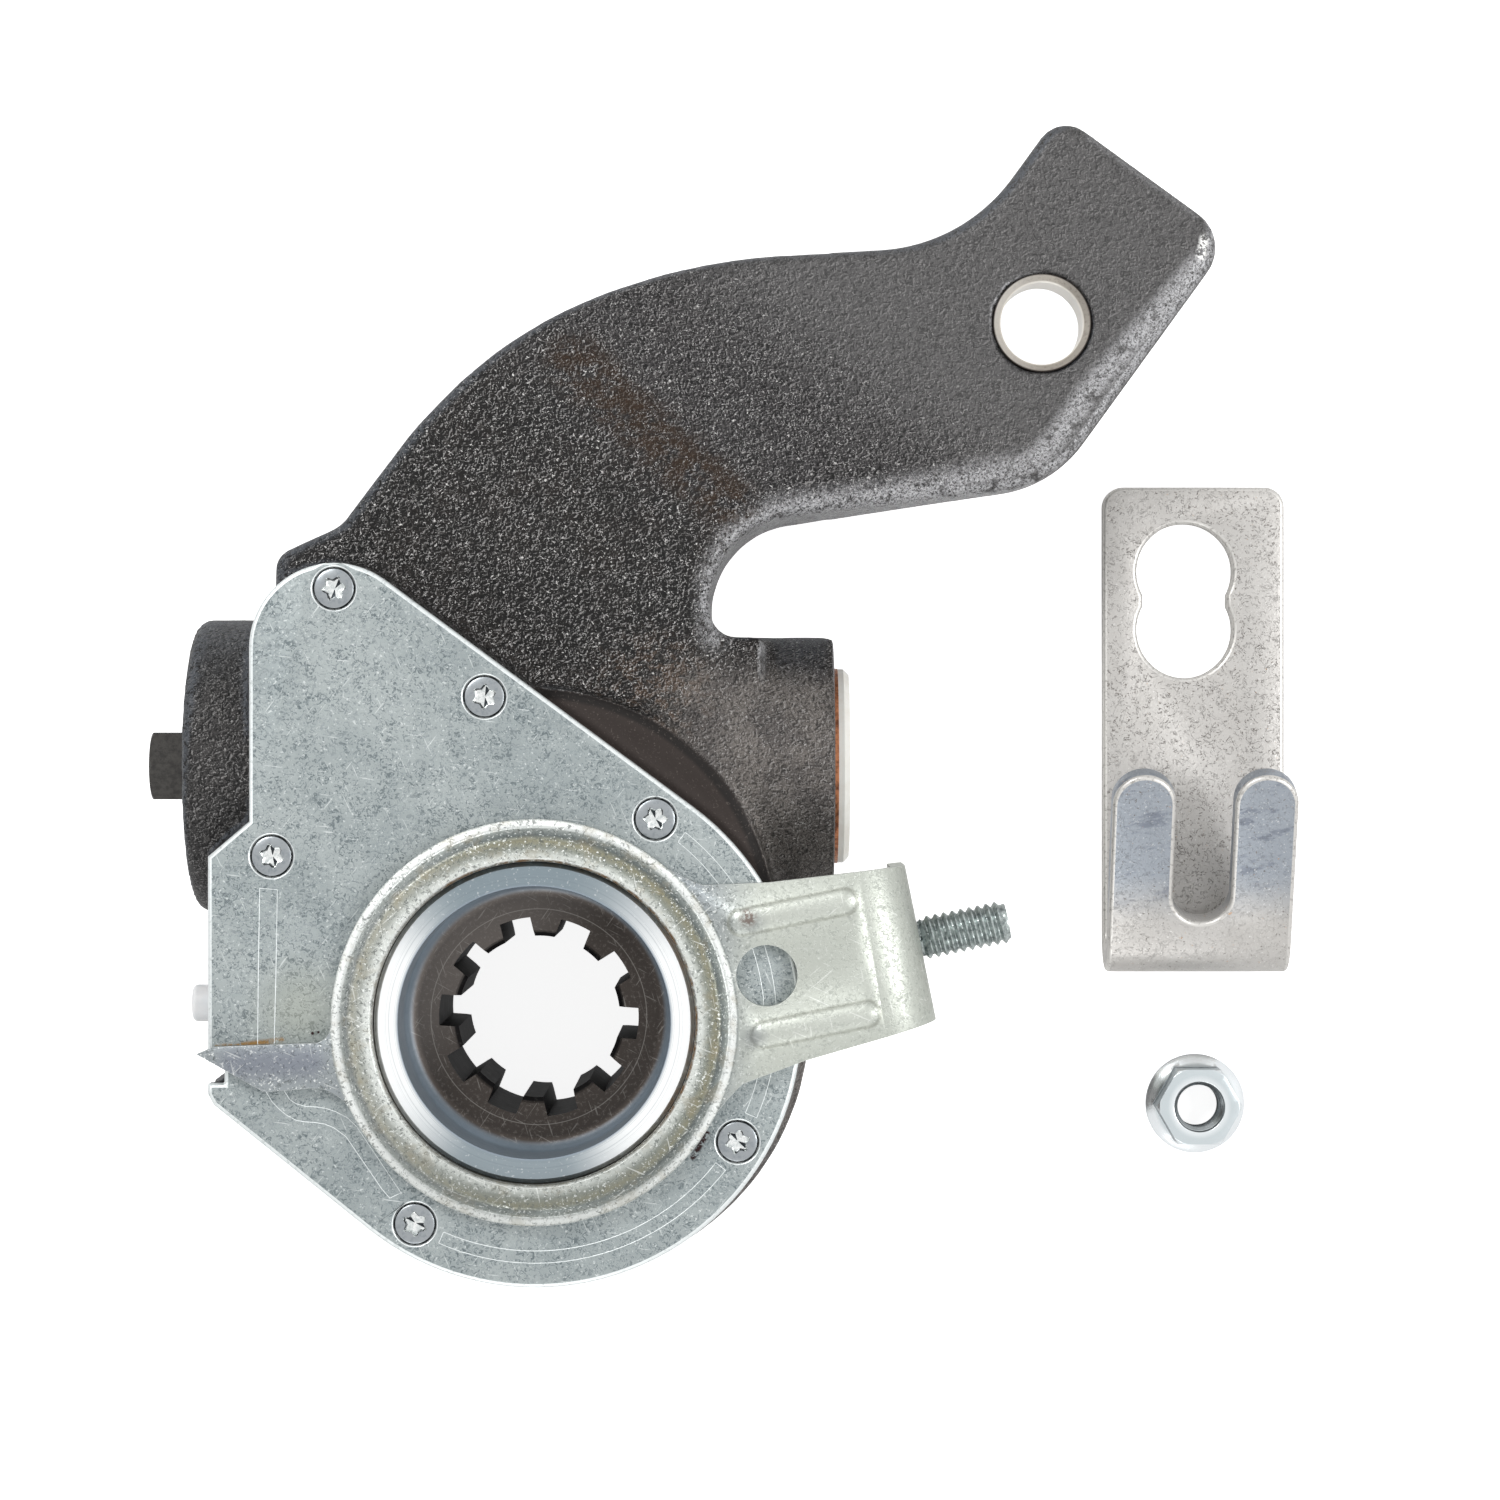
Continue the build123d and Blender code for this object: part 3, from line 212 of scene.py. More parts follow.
def castBlack():
    # the casting: nearly black and hammered, greyer at the neck and tip, brown on the right boss
    f = Finish("castBlack")
    look = castLook
    turn = radians(look["armTurn"])
    along = f.x * cos(turn) + f.y * sin(turn)
    fromHub = f.reach(*look["hub"])
    tip = f.step(along, 118.0, 150.0)
    neck = f.step(along, 88.0, 118.0)
    boss = f.step(f.x, 17.0, 33.0) * (1 - f.step(f.y, 62.0, 72.0))
    left = 1 - f.step(f.x, -60.0, -40.0)
    ledge = f.step(f.z, 24.4, 24.9) * (1 - f.step(fromHub, 45.6, 46.4))
    grain = f.noise(look["grain"], 2.0, 0.6, warp=1.0)
    emboss = grain - f.noise(look["grain"], 2.0, 0.6, shift=(0.22, -0.16, 0.0), warp=1.0)
    lumps = f.noise(2.1, 4.0, 0.6, shift=(9, 2, 5))
    fine = f.noise(0.42, 2.0, 0.5, shift=(3, 7, 1), warp=1.0)
    colour = f.blend(f.step(f.noise(15.0, 4.0, 0.6), 0.42, 0.62), look["black"], look["brown"])
    colour = f.blend(neck * 0.8, colour, look["neck"])
    colour = f.blend(tip, colour, look["tip"])
    colour = f.blend(left * 0.6, colour, look["left"])
    bossTone = f.blend(f.step(f.noise(9.0, 4.0, 0.6), 0.36, 0.66), look["boss"], look["bossDark"])
    colour = f.blend(boss, colour, bossTone)
    stain = f.stroke(*look["stainLine"], 4.5, 3.5) * f.step(f.noise(4.0, 5.0, 0.7), 0.38, 0.58)
    colour = f.blend(stain * 0.95, colour, look["stain"])
    warm = f.patch(*look["warmPatch"]) * f.step(lumps, 0.45, 0.60)
    colour = f.blend(warm * 0.5, colour, look["warm"])
    # relief: painted shade in the hollows, painted highlights on the crests, painted light and shade from the
    # emboss (its raised side lit, its sunk side shaded) and painted glints, calmer at the tip and on the bosses
    coarse = (1 - tip * 0.55) * (1 - boss * 0.35)
    colour = f.blend((1 - f.step(grain, 0.36, 0.50)) * coarse * 0.85, colour, look["pit"])
    colour = f.blend(f.step(grain, 0.54, 0.68) * coarse * 0.12, colour, look["crest"])
    calm = (1 - 0.45 * boss) * (1 - 0.62 * tip) * (1 - 0.35 * left)
    # painted highlight and painted shade: the grain minus a shifted copy paints one side of each bump lit and the
    # other shaded
    embossHighlight = f.step(emboss, 0.055, 0.13) * (0.35 + 0.65 * f.step(lumps, 0.42, 0.56)) * calm
    sunk = f.step(-emboss, 0.015, 0.10) * calm
    colour = f.blend(embossHighlight * 0.40, colour, look["embossHighlight"])
    colour = f.blend(sunk * 0.75, colour, look["sunk"])
    # painted glints
    fleckGlint = f.step(fine, 0.635, 0.69) * (1 - tip * 0.8) * (1 - boss * 0.6) * (1 - left * 0.6)
    colour = f.blend(fleckGlint * 0.72, colour, look["fleckGlint"])
    colour = f.blend(stain * 0.5, colour, look["stain"])
    # smooth ledge under the cover, with a painted shadow strip at its outer edge
    shelf = f.blend(f.ring(fromHub, 45.0, 0.9, 0.5) * 0.85, look["ledge"], look["dropShadow"])
    shelf = f.blend(f.step(fine, 0.62, 0.70) * 0.2, shelf, look["dust"])
    colour = f.blend(ledge, colour, shelf)
    # painted highlight, broken up by noise, on edges that face down and right, along the listed rims and bands
    # and along the lip; painted bluish shade on the opposite edges
    lit = f.facing(0) * 0.86 - f.facing(1) * 0.5
    litEdge = f.step(lit, 0.18, 0.50) * (1 - f.step(lit, 0.82, 0.97)) * f.step(along, 45.0, 60.0) * (1 - boss)
    for line in look["rim"]:
        litEdge = litEdge.most(f.stroke(*line, 2.4, 2.4) * 0.75)
    for line in look["bandHighlights"]:
        litEdge = litEdge.most(f.stroke(*line, 2.0, 1.7) * 0.85)
    litEdge = litEdge.most(f.stroke(*look["lip"], 0.4, 0.9) * 0.45)
    litEdge = litEdge * f.step(fine, 0.32, 0.62) * f.step(lumps, 0.30, 0.50)
    colour = f.blend(litEdge, colour, look["litEdge"])
    # painted bluish shade on edges that face up and left
    coolShade = f.step(-lit, 0.25, 0.6) * (1 - f.step(-lit, 0.85, 0.97))
    colour = f.blend(coolShade * 0.6 * f.step(grain, 0.36, 0.50), colour, look["coolShade"])
    # a broken painted highlight at the right end of the tip's lit band
    broken = f.step(f.noise(0.8, 3.0, 0.7, shift=(6, 6, 2)), 0.47, 0.53)
    colour = f.blend(f.stroke(*look["endHighlightLine"], 0.9, 0.5) * broken, colour, look["endHighlight"])
    rough = 0.36 + 0.22 * lumps + 0.10 * ledge
    height = (grain + 0.35 * fine) * (1 - 0.5 * tip) * (1 - 0.4 * boss) * (1 - 0.9 * ledge)
    height = height + 0.8 * lumps * (1 - ledge)
    return f.done(colour, rough, look["metal"], f.bump(height, look["depth"]))


plateLook = {
    "pale": (167, 174, 174), "grey": (151, 159, 160), "speck": (88, 99, 103), "glint": (236, 240, 239),
    "rust": (150, 112, 52), "smear": (46, 28, 28), "olive": (168, 170, 152),
    "rustLine": (-60.5, -4.9, -47.5, -3.5), "smearLine": (29.6, -25.4, 32.3, -21.0),
    "olivePatch": (-44.0, 2.0, 7.0, 6.0), "scratchTurns": (24, -38, 83),
    "nicks": ((-31.1, 84.1, 0.55, 0.2), (-41.7, -2.2, 0.3, 0.1), (-40.6, -2.0, 0.25, 0.1))}


def platedSheet():
    # the cover: crystalline mottling with dark curls in clusters, hairline scratches
    f = Finish("platedSheet")
    look = plateLook
    clusters = f.step(f.noise(5.0, 4.0, 0.65, shift=(4, 8, 1)), 0.36, 0.60)
    curls = f.step(f.noise(0.85, 4.0, 0.7, warp=1.4), 0.49, 0.59)
    grains = f.step(f.noise(0.55, 3.0, 0.6, shift=(1, 5, 3)), 0.60, 0.70)
    cloud = f.step(f.noise(18.0, 5.0, 0.65, shift=(2, 3, 4)), 0.34, 0.64)
    colour = f.blend(cloud, look["pale"], look["grey"])
    colour = f.blend(curls * (0.35 + 0.65 * clusters) * 0.82, colour, look["speck"])
    colour = f.blend(grains * 0.50, colour, look["glint"])
    colour = f.blend(f.scratches(look["scratchTurns"], 0.735, 0.79, 0.35) * 0.45, colour, look["glint"])
    colour = f.blend(f.patch(*look["olivePatch"]) * 0.35, colour, look["olive"])
    rust = f.stroke(*look["rustLine"], 0.45, 0.35) * f.step(f.noise(1.5, 4.0, 0.7), 0.36, 0.56)
    colour = f.blend(rust * 0.9, colour, look["rust"])
    dirt = f.stroke(*look["smearLine"], 0.5, 0.25) * f.step(f.noise(0.9, 4.0, 0.7), 0.40, 0.46)
    for nick in look["nicks"]:
        dirt = dirt.most(f.patch(*nick))
    colour = f.blend(dirt, colour, look["smear"])
    shine = 0.36 + 0.18 * f.noise(1.5, 3.0, 0.6, shift=(7, 7, 7)) + 0.08 * curls
    height = f.noise(0.5, 3.0, 0.6) - 0.5 * curls
    return f.done(colour, shine, 0.7, f.bump(height, 0.035))


strapTurn = radians(11.4)
ribEnds = [(u * cos(strapTurn) - v * sin(strapTurn), u * sin(strapTurn) + v * cos(strapTurn))
           for v in (10.7, -10.7) for u in (41.6, 61.3)]
armLook = {
    "ribs": (ribEnds[0] + ribEnds[1], ribEnds[2] + ribEnds[3]), "face": (148, 154, 157),
    "strap": (184, 188, 180), "leftGlow": (232, 235, 233), "speck": (78, 84, 82), "glint": (242, 245, 242),
    "ochre": (142, 128, 96), "bluish": (108, 112, 128), "seam": (112, 76, 30), "south": (112, 116, 112),
    "scratch": (236, 238, 234), "foot": (134, 136, 126), "crown": (212, 215, 208), "ribEndShadow": (112, 116, 122),
    "spot": (106, 88, 80), "ringStart": 30.0, "ringWidth": 8.0, "scratchTurns": (12, -50, 67),
    "pointerShadeLine": (-56.0, -7.6, -42.0, -7.4), "spotPatch": (39.9, 19.6, 1.5, 0.7),
    "ribShadowPatches": ((41.2, -2.6, 1.9, 1.4), (41.0, 18.6, 1.9, 1.6)),
    "stops": ((0.00, (70, 58, 40)), (0.035, (130, 126, 114)), (0.07, (208, 211, 206)),
              (0.18, (206, 210, 205)), (0.34, (136, 140, 132)), (0.50, (132, 130, 110)),
              (0.64, (104, 111, 110)), (0.76, (150, 156, 153)), (0.88, (236, 239, 237)),
              (0.96, (226, 229, 226)), (1.00, (140, 146, 144)))}


def platedArm():
    # the stamping: olive mottled ring with painted highlights on its shoulders and on its left side, bluish
    # pointer, paler strap
    f = Finish("platedArm")
    look = armLook
    radius = f.reach(0.0, 0.0)
    wobble = 0.5 * f.noise(2.0, 4.0, 0.7) - 0.25
    # the ring's radial profile: a dark brown inner edge, partly rust and partly painted shade in the gap, painted
    # highlights on the inner lip and outer shoulder, olive and grey tones between
    bead = f.add("ShaderNodeValToRGB", {"stops": look["stops"]},
                 {0: (radius + wobble - look["ringStart"]) / look["ringWidth"]})
    outside = f.step(radius, 37.9, 38.4)
    rightSide = f.step(f.x, 30.0, 44.0)
    sheet = f.blend(rightSide, look["face"], look["strap"])
    colour = f.blend(outside, bead, sheet)
    leftShare = f.step(-f.x / radius, 0.1, 0.9) * (1 - outside)
    colour = f.blend(leftShare * 0.22, colour, look["leftGlow"])
    specks = f.step(f.noise(0.8, 4.0, 0.7, warp=0.8), 0.50, 0.64)
    colour = f.blend(specks * (0.72 - 0.47 * rightSide), colour, look["speck"])
    glints = f.step(f.noise(0.5, 3.0, 0.6, shift=(5, 1, 8)), 0.58, 0.67)
    colour = f.blend(glints * (0.78 - 0.58 * rightSide), colour, look["glint"])
    ochre = f.step(f.noise(5.0, 4.0, 0.65, shift=(8, 3, 2)), 0.50, 0.66) * (1 - outside)
    colour = f.blend(ochre * 0.28, colour, look["ochre"])
    # painted bluish shade along the pointer's lower edge
    colour = f.blend(f.stroke(*look["pointerShadeLine"], 2.6, 2.2) * 0.5, colour, look["bluish"])
    seam = f.ring(radius, 30.3, 0.28, 0.2) * f.step(f.noise(3.0, 4.0, 0.7), 0.44, 0.58)
    colour = f.blend(seam * f.step(f.y + f.x, 0.0, 12.0) * 0.8, colour, look["seam"])
    south = f.step(-f.y / radius, 0.3, 0.95) * (1 - outside)
    colour = f.blend(south * 0.35, colour, look["south"])
    colour = f.blend(f.scratches(look["scratchTurns"], 0.72, 0.77, 0.4) * 0.4, colour, look["scratch"])
    # the two ribs: painted shade along their feet, painted highlights on their crowns, a grey painted shadow at
    # their left ends, and a brown spot
    for line in look["ribs"]:
        foot = f.stroke(*line, 2.75, 0.25) * (1 - f.stroke(*line, 2.1, 0.4))
        colour = f.blend(foot * 0.55, colour, look["foot"])
        colour = f.blend(f.stroke(*line, 1.4, 0.9) * 0.16, colour, look["crown"])
    lower, upper = [f.patch(*place) for place in look["ribShadowPatches"]]
    colour = f.blend(lower.most(upper * 0.7) * 0.45, colour, look["ribEndShadow"])
    spot = f.patch(*look["spotPatch"]) * f.step(f.noise(0.9, 4.0, 0.7), 0.40, 0.52)
    colour = f.blend(spot * 0.8, colour, look["spot"])
    shine = 0.34 + 0.16 * f.noise(1.5, 3.0, 0.6, shift=(7, 7, 7)) + 0.08 * specks
    height = f.noise(0.5, 3.0, 0.6) - 0.5 * specks
    return f.done(colour, shine, 0.75, f.bump(height, 0.04))


def wornEdge(name, pale, dark):
    # the rounded cut edge of a plated sheet, and the cover's coined lines, in a paler finish that is a painted
    # highlight
    f = Finish(name)
    colour = f.blend(f.step(f.noise(0.7, 4.0, 0.7), 0.52, 0.66) * 0.6, pale, dark)
    return f.done(colour, 0.34 + 0.15 * f.noise(1.2, 3.0, 0.6), 0.65, f.bump(f.noise(0.5, 3.0, 0.6), 0.03))


bracketLook = {"pale": (196, 194, 191), "warm": (178, 175, 171), "line": (96, 90, 86), "cool": (143, 151, 161),
               "scuff": (98, 104, 118), "pit": (110, 104, 98), "glint": (238, 238, 236), "orange": (188, 140, 88)}


def weatheredSteel():
    # the bracket: pale grey with dark curly scratches, pits and a few orange specks, its fork bluish
    f = Finish("weatheredSteel")
    look = bracketLook
    fork = f.step(f.z, -25.0, -23.0)
    rising = fork * f.step(f.y + 3.0 * f.noise(6.0, 4.0, 0.6, shift=(9, 9, 2)), 17.0, 29.0)
    colour = f.blend(f.noise(11.0, 4.0, 0.6), look["pale"], look["warm"])
    clusters = f.step(f.noise(8.0, 4.0, 0.6, shift=(6, 1, 2)), 0.36, 0.58)
    curl = abs(f.noise(1.9, 3.0, 0.6, warp=1.6) - 0.5)
    curls = (1 - f.step(curl, 0.006, 0.026)) * f.step(f.noise(1.1, 3.0, 0.6, shift=(2, 9, 4)), 0.44, 0.54)
    pits = f.step(f.noise(0.6, 3.0, 0.6, shift=(3, 3, 9)), 0.62, 0.70)
    colour = f.blend(rising * 0.85, colour, look["cool"])
    streaks = f.noise(3.2, 5.0, 0.7, stretch=(0.35, 1, 1), turn=12, shift=(4, 4, 4))
    colour = f.blend(f.step(streaks, 0.52, 0.64) * rising * 0.6, colour, look["scuff"])
    colour = f.blend(curls * (0.30 + 0.70 * clusters) * (0.85 - 0.65 * fork), colour, look["line"])
    colour = f.blend(pits * (0.35 + 0.55 * clusters), colour, look["pit"])
    glints = f.step(f.noise(0.5, 3.0, 0.6, shift=(5, 1, 8)), 0.62, 0.70)
    colour = f.blend(glints * 0.45, colour, look["glint"])
    orange = f.step(f.noise(1.0, 3.0, 0.6, shift=(1, 2, 7)), 0.70, 0.74)
    colour = f.blend(orange * 0.7, colour, look["orange"])
    shine = 0.36 + 0.16 * f.noise(1.5, 3.0, 0.6, shift=(7, 7, 7)) + 0.1 * curls
    return f.done(colour, shine, 0.7, f.bump(f.noise(0.6, 3.0, 0.6) - 0.7 * curls - 0.4 * pits, 0.06))


wheelLook = {"collar": (142, 153, 159), "white": (244, 246, 246), "shade": (130, 143, 150),
             "mark": (118, 129, 136), "glint": (240, 242, 242), "wall": (158, 171, 182),
             "wallDark": (126, 140, 152), "floor": (66, 60, 56), "pale": (108, 102, 98), "grit": (150, 144, 138),
             "scratch": (176, 172, 166), "circle": (170, 166, 160), "flankShade": (24, 22, 22),
             "flankPale": (70, 68, 66), "scratchTurns": (18, -35, 62)}


def turnedSteel():
    # the worm wheel: turned collar with a painted highlight on its left and painted shade on its top, bluish
    # fillet, dark dish and tooth flanks in painted black shade
    f = Finish("turnedSteel")
    look = wheelLook
    radius = f.reach(0.0, 0.0)
    collar = f.step(radius, 25.4, 26.0)
    wall = f.step(radius, 23.6, 25.3)
    turned = f.add("ShaderNodeCombineXYZ", {}, {0: radius * 5.0, 1: f.z * 0.3})
    marks = f.add("ShaderNodeTexNoise", {}, {"Vector": turned, "Scale": 1.0, "Detail": 3.0, "Roughness": 0.6})
    mottle = f.noise(2.5, 4.0, 0.65)
    # painted highlight: the collar's left side is painted white
    west = f.step(abs(f.x / radius + 0.12), 0.30, 0.85)
    north = f.step(f.y / radius, 0.35, 1.0)
    bright = f.blend(west, look["collar"], look["white"])
    bright = f.blend(north * 0.85, bright, look["shade"])
    bright = f.blend(f.step(marks, 0.50, 0.64) * 0.45, bright, look["mark"])
    bright = f.blend(f.step(f.noise(0.6, 3.0, 0.6), 0.62, 0.70) * 0.35, bright, look["glint"])
    upper = f.step(f.y - f.x, 2.0, 26.0)
    ground = f.blend(upper * 0.7, look["floor"], look["pale"])
    ground = f.blend(f.step(f.noise(0.7, 3.0, 0.7), 0.52, 0.68) * 0.22, ground, look["grit"])
    ground = f.blend(f.scratches(look["scratchTurns"], 0.70, 0.76, 0.3) * 0.28, ground, look["scratch"])
    ground = f.blend(f.ring(radius, 20.6, 0.07, 0.05) * 0.4, ground, look["circle"])
    colour = f.blend(wall, ground, f.blend(mottle, look["wall"], look["wallDark"]))
    colour = f.blend(collar, colour, bright)
    # painted shade: the tooth flanks inside the bore are painted nearly black
    inside = 1 - f.step(f.z, 17.7, 18.05)
    drawn = f.step(f.noise(1.2, 3.0, 0.6, stretch=(1, 1, 0.2)), 0.55, 0.70)
    flankShade = f.blend(drawn * 0.4, look["flankShade"], look["flankPale"])
    colour = f.blend(inside * (1 - f.step(radius, 20.0, 21.0)), colour, flankShade)
    rough = 0.32 + 0.16 * mottle + 0.10 * (1 - wall)
    height = marks * wall + 0.4 * f.noise(0.7, 3.0, 0.6)
    metal = 0.8 - 0.5 * wall * (1 - collar)
    return f.done(colour, rough, metal, f.bump(height, 0.03))


def plainMetal(name, pale, dark, size, rough, metal=0.9, depth=0.03):
    f = Finish(name)
    colour = f.blend(f.step(f.noise(size, 4.0, 0.65), 0.38, 0.66), pale, dark)
    shine = rough + 0.15 * f.noise(size * 0.6, 3.0, 0.6, shift=(3, 3, 3))
    return f.done(colour, shine, metal, f.bump(f.noise(0.4, 3.0, 0.6), depth))


screwLook = {"face": (158, 163, 166), "grit": (112, 120, 127)}


def screwSteel():
    # flat grey head ring with a fine grit
    f = Finish("screwSteel")
    grit = f.step(f.noise(0.9, 4.0, 0.65), 0.46, 0.66)
    face = f.blend(grit * 0.45, screwLook["face"], screwLook["grit"])
    return f.done(face, 0.30 + 0.1 * grit, 0.8, f.bump(f.noise(0.4, 3.0, 0.6), 0.015))


pinPlace = (96.9, 133.7)
bushLook = {"lip": (243, 240, 234), "face": (176, 170, 162), "grit": (134, 127, 120), "glow": (236, 233, 228),
            "gapShade": (52, 46, 42)}


def bushSteel():
    # warm grey face ring with a painted highlight on its left, painted shade in the gap outside, bright inner lip
    f = Finish("bushSteel")
    radius = f.reach(*pinPlace)
    grit = f.step(f.noise(0.8, 4.0, 0.65), 0.48, 0.66)
    west = f.step((pinPlace[0] - f.x) / radius, -0.2, 0.9)
    face = f.blend(grit * 0.5, bushLook["face"], bushLook["grit"])
    face = f.blend(west * 0.55, face, bushLook["glow"])
    colour = f.blend(f.step(radius, 8.05, 8.35), bushLook["lip"], face)
    colour = f.blend(f.step(radius, 9.15, 9.4), colour, bushLook["gapShade"])
    return f.done(colour, 0.30 + 0.15 * grit, 0.7, f.bump(f.noise(0.4, 3.0, 0.6), 0.03))


nutPlace = (130.5, -20.7)
nutLook = {"flankShade": (84, 94, 98), "flankPale": (150, 160, 164), "crown": (228, 233, 235),
           "ring": (205, 213, 216), "flange": (232, 236, 238), "bore": (74, 82, 86)}


def nutSteel():
    # bright faces; the side faces under the flat top get a darker painted shade, chosen by which way they face
    f = Finish("nutSteel")
    radius = f.reach(*nutPlace)
    flankShade = f.blend(f.noise(2.0, 4.0, 0.6), nutLook["flankShade"], nutLook["flankPale"])
    crown = f.blend(f.step(radius, 5.2, 6.6), nutLook["crown"], nutLook["ring"])
    crown = f.blend(f.step(radius, 7.6, 8.6), crown, nutLook["flange"])
    colour = f.blend(f.step(f.facing(2), 0.25, 0.75), flankShade, crown)
    # painted shade inside the bore
    colour = f.blend((1 - f.step(radius, 4.7, 5.0)) * 0.6, colour, nutLook["bore"])
    return f.done(colour, 0.18 + 0.1 * f.noise(1.5, 3.0, 0.6), 0.85, f.bump(f.noise(0.8, 3.0, 0.6), 0.01))


def moulded(name, pale, dark, rough, depth=0.04):
    f = Finish(name)
    colour = f.blend(f.step(f.noise(3.0, 4.0, 0.6), 0.35, 0.70), pale, dark)
    return f.done(colour, rough + 0.12 * f.noise(1.5, 3.0, 0.6), 0.0, f.bump(f.noise(0.6, 3.0, 0.6), depth))


finishes = {
    "cast_black": castBlack(),
    "zinc_plate": platedSheet(),
    "zinc_yellow": platedArm(),
    "bright_zinc": plainMetal("brightZinc", (228, 233, 236), (206, 213, 218), 2.4, 0.16, 0.85, 0.01),
    "machined_steel": turnedSteel(),
    "ground_steel": plainMetal("groundSteel", (176, 180, 182), (132, 134, 134), 2.0, 0.30),
    "spring_steel": plainMetal("springSteel", (120, 122, 124), (84, 84, 84), 1.5, 0.34),
    "stainless": weatheredSteel(),
    "pale_cap": moulded("paleCap", (255, 254, 248), (248, 245, 237), 0.42),
    "copper": plainMetal("copper", (196, 130, 92), (116, 70, 48), 1.2, 0.32, 0.7),
    "bronze": plainMetal("bronze", (176, 138, 84), (140, 106, 62), 2.0, 0.36),
    "rubber_black": moulded("rubberBlack", (30, 30, 30), (20, 20, 20), 0.6, 0.05),
    "gasket_dark": moulded("gasketDark", (44, 40, 38), (26, 24, 23), 0.7, 0.05),
    "white_plastic": moulded("whitePlastic", (255, 255, 255), (247, 250, 252), 0.38, 0.02),
}
ownFinishes = {
    "clevis_bushing": bushSteel(),
    "cover_screws": screwSteel(),
    "lock_nut": nutSteel(),
    "worm_shaft": plainMetal("darkOxide", (60, 58, 55), (40, 38, 36), 1.2, 0.42, 0.5, 0.06),
    "anchor_stud": plainMetal("greyZinc", (182, 190, 188), (118, 126, 126), 0.9, 0.26, 0.85, 0.02),
}
# painted reflections in the screw recess: bright and dark facets; the dark finish also gives the head's side a
# painted shade
recessFinishes = [plainMetal("recessBright", (244, 246, 245), (208, 214, 214), 0.8, 0.16, 0.8, 0.01),
                  plainMetal("recessDark", (58, 64, 68), (34, 38, 42), 0.8, 0.2, 0.8, 0.01)]
edgeFinishes = {
    "cover_plate": wornEdge("plateEdge", (228, 233, 233), (176, 184, 184)),
    "control_arm": wornEdge("armEdge", (230, 233, 229), (176, 178, 168)),
    "anchor_bracket": wornEdge("bracketEdge", (206, 204, 200), (120, 116, 112)),
}
nodeSlots = {
    "housing": "cast_black", "clevis_bushing": "machined_steel", "worm_wheel": "machined_steel",
    "cover_plate": "zinc_plate", "cover_gasket": "gasket_dark", "cover_seal": "rubber_black",
    "worm_seal": "rubber_black", "wheel_seal": "rubber_black", "cover_screws": "bright_zinc",
    "anchor_stud": "bright_zinc", "lock_nut": "bright_zinc", "grease_plug": "white_plastic",
    "end_cap": "pale_cap", "end_cap_gasket": "copper", "thrust_spring": "spring_steel",
    "rack_spring": "spring_steel", "one_way_spring": "spring_steel", "spring_seat": "ground_steel",
    "worm_shaft": "ground_steel", "coupling_ring": "ground_steel", "clutch_wheel": "ground_steel",
    "rack": "ground_steel", "control_sleeve": "ground_steel", "control_disc": "ground_steel",
    "worm_bush_left": "bronze", "worm_bush_right": "bronze", "wheel_bearing": "bronze",
    "control_arm": "zinc_yellow", "anchor_bracket": "stainless",
}
for nodeName, slotName in nodeSlots.items():
    mesh = cad[nodeName].data
    mesh.materials.clear()
    mesh.materials.append(ownFinishes.get(nodeName, finishes[slotName]))
print("finishes made:", len(finishes) + len(ownFinishes) + len(edgeFinishes))


# tools
def clearSelection():
    if bpy.context.object is not None and bpy.context.object.mode != "OBJECT":
        bpy.ops.object.mode_set(mode="OBJECT")
    bpy.ops.object.select_all(action="DESELECT")


def pickUp(piece):
    clearSelection()
    piece.select_set(True)
    bpy.context.view_layer.objects.active = piece


def joinInto(piece, others):
    pickUp(piece)
    for other in others:
        other.select_set(True)
    bpy.ops.object.join()


def copyNode(nodeName, pieceName):
    # a merged copy of a CAD node's loose triangles
    piece = bpy.data.objects.new(pieceName, cad[nodeName].data.copy())
    scene.collection.objects.link(piece)
    pickUp(piece)
    bpy.ops.object.mode_set(mode="EDIT")
    bpy.ops.mesh.select_all(action="SELECT")
    bpy.ops.mesh.remove_doubles(threshold=0.002 * mm)
    bpy.ops.object.mode_set(mode="OBJECT")
    return piece


def flatCopy(nodeName, pieceName):
    # a merged copy whose flat faces are single polygons, with its edge finish as second material
    piece = copyNode(nodeName, pieceName)
    bpy.ops.object.mode_set(mode="EDIT")
    bpy.ops.mesh.select_all(action="SELECT")
    bpy.ops.mesh.dissolve_limited(angle_limit=radians(0.6))
    bpy.ops.object.mode_set(mode="OBJECT")
    piece.data.materials.append(edgeFinishes[nodeName])
    return piece


def applyModifier(piece, kind, **settings):
    pickUp(piece)
    bpy.ops.object.modifier_add(type=kind)
    modifier = piece.modifiers[-1]
    for key, value in settings.items():
        setattr(modifier, key, value)
    bpy.ops.object.modifier_apply(modifier=modifier.name)


def smoothShade(piece, angle):
    pickUp(piece)
    bpy.ops.object.shade_smooth_by_angle(angle=radians(angle))


def softEdges(piece, width, segments, angle=28.0, group="", clamp=False):
    # breaks the sharp edges; the new faces take the edge finish
    settings = {"limit_method": "VGROUP", "vertex_group": group} if group else {"limit_method": "ANGLE"}
    applyModifier(piece, "BEVEL", width=width * mm, segments=segments, angle_limit=radians(angle), material=1,
                  use_clamp_overlap=clamp, harden_normals=False, **settings)
    smoothShade(piece, 40.0)


def keepInside(piece, nodeName):
    # a rounded mesh can stand past its CAD node's box, so each vertex is held within it
    low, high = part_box(nodeName)
    for vertex in piece.data.vertices:
        vertex.co = Vector(min(max(value, least), most) for value, least, most in zip(vertex.co, low, high))


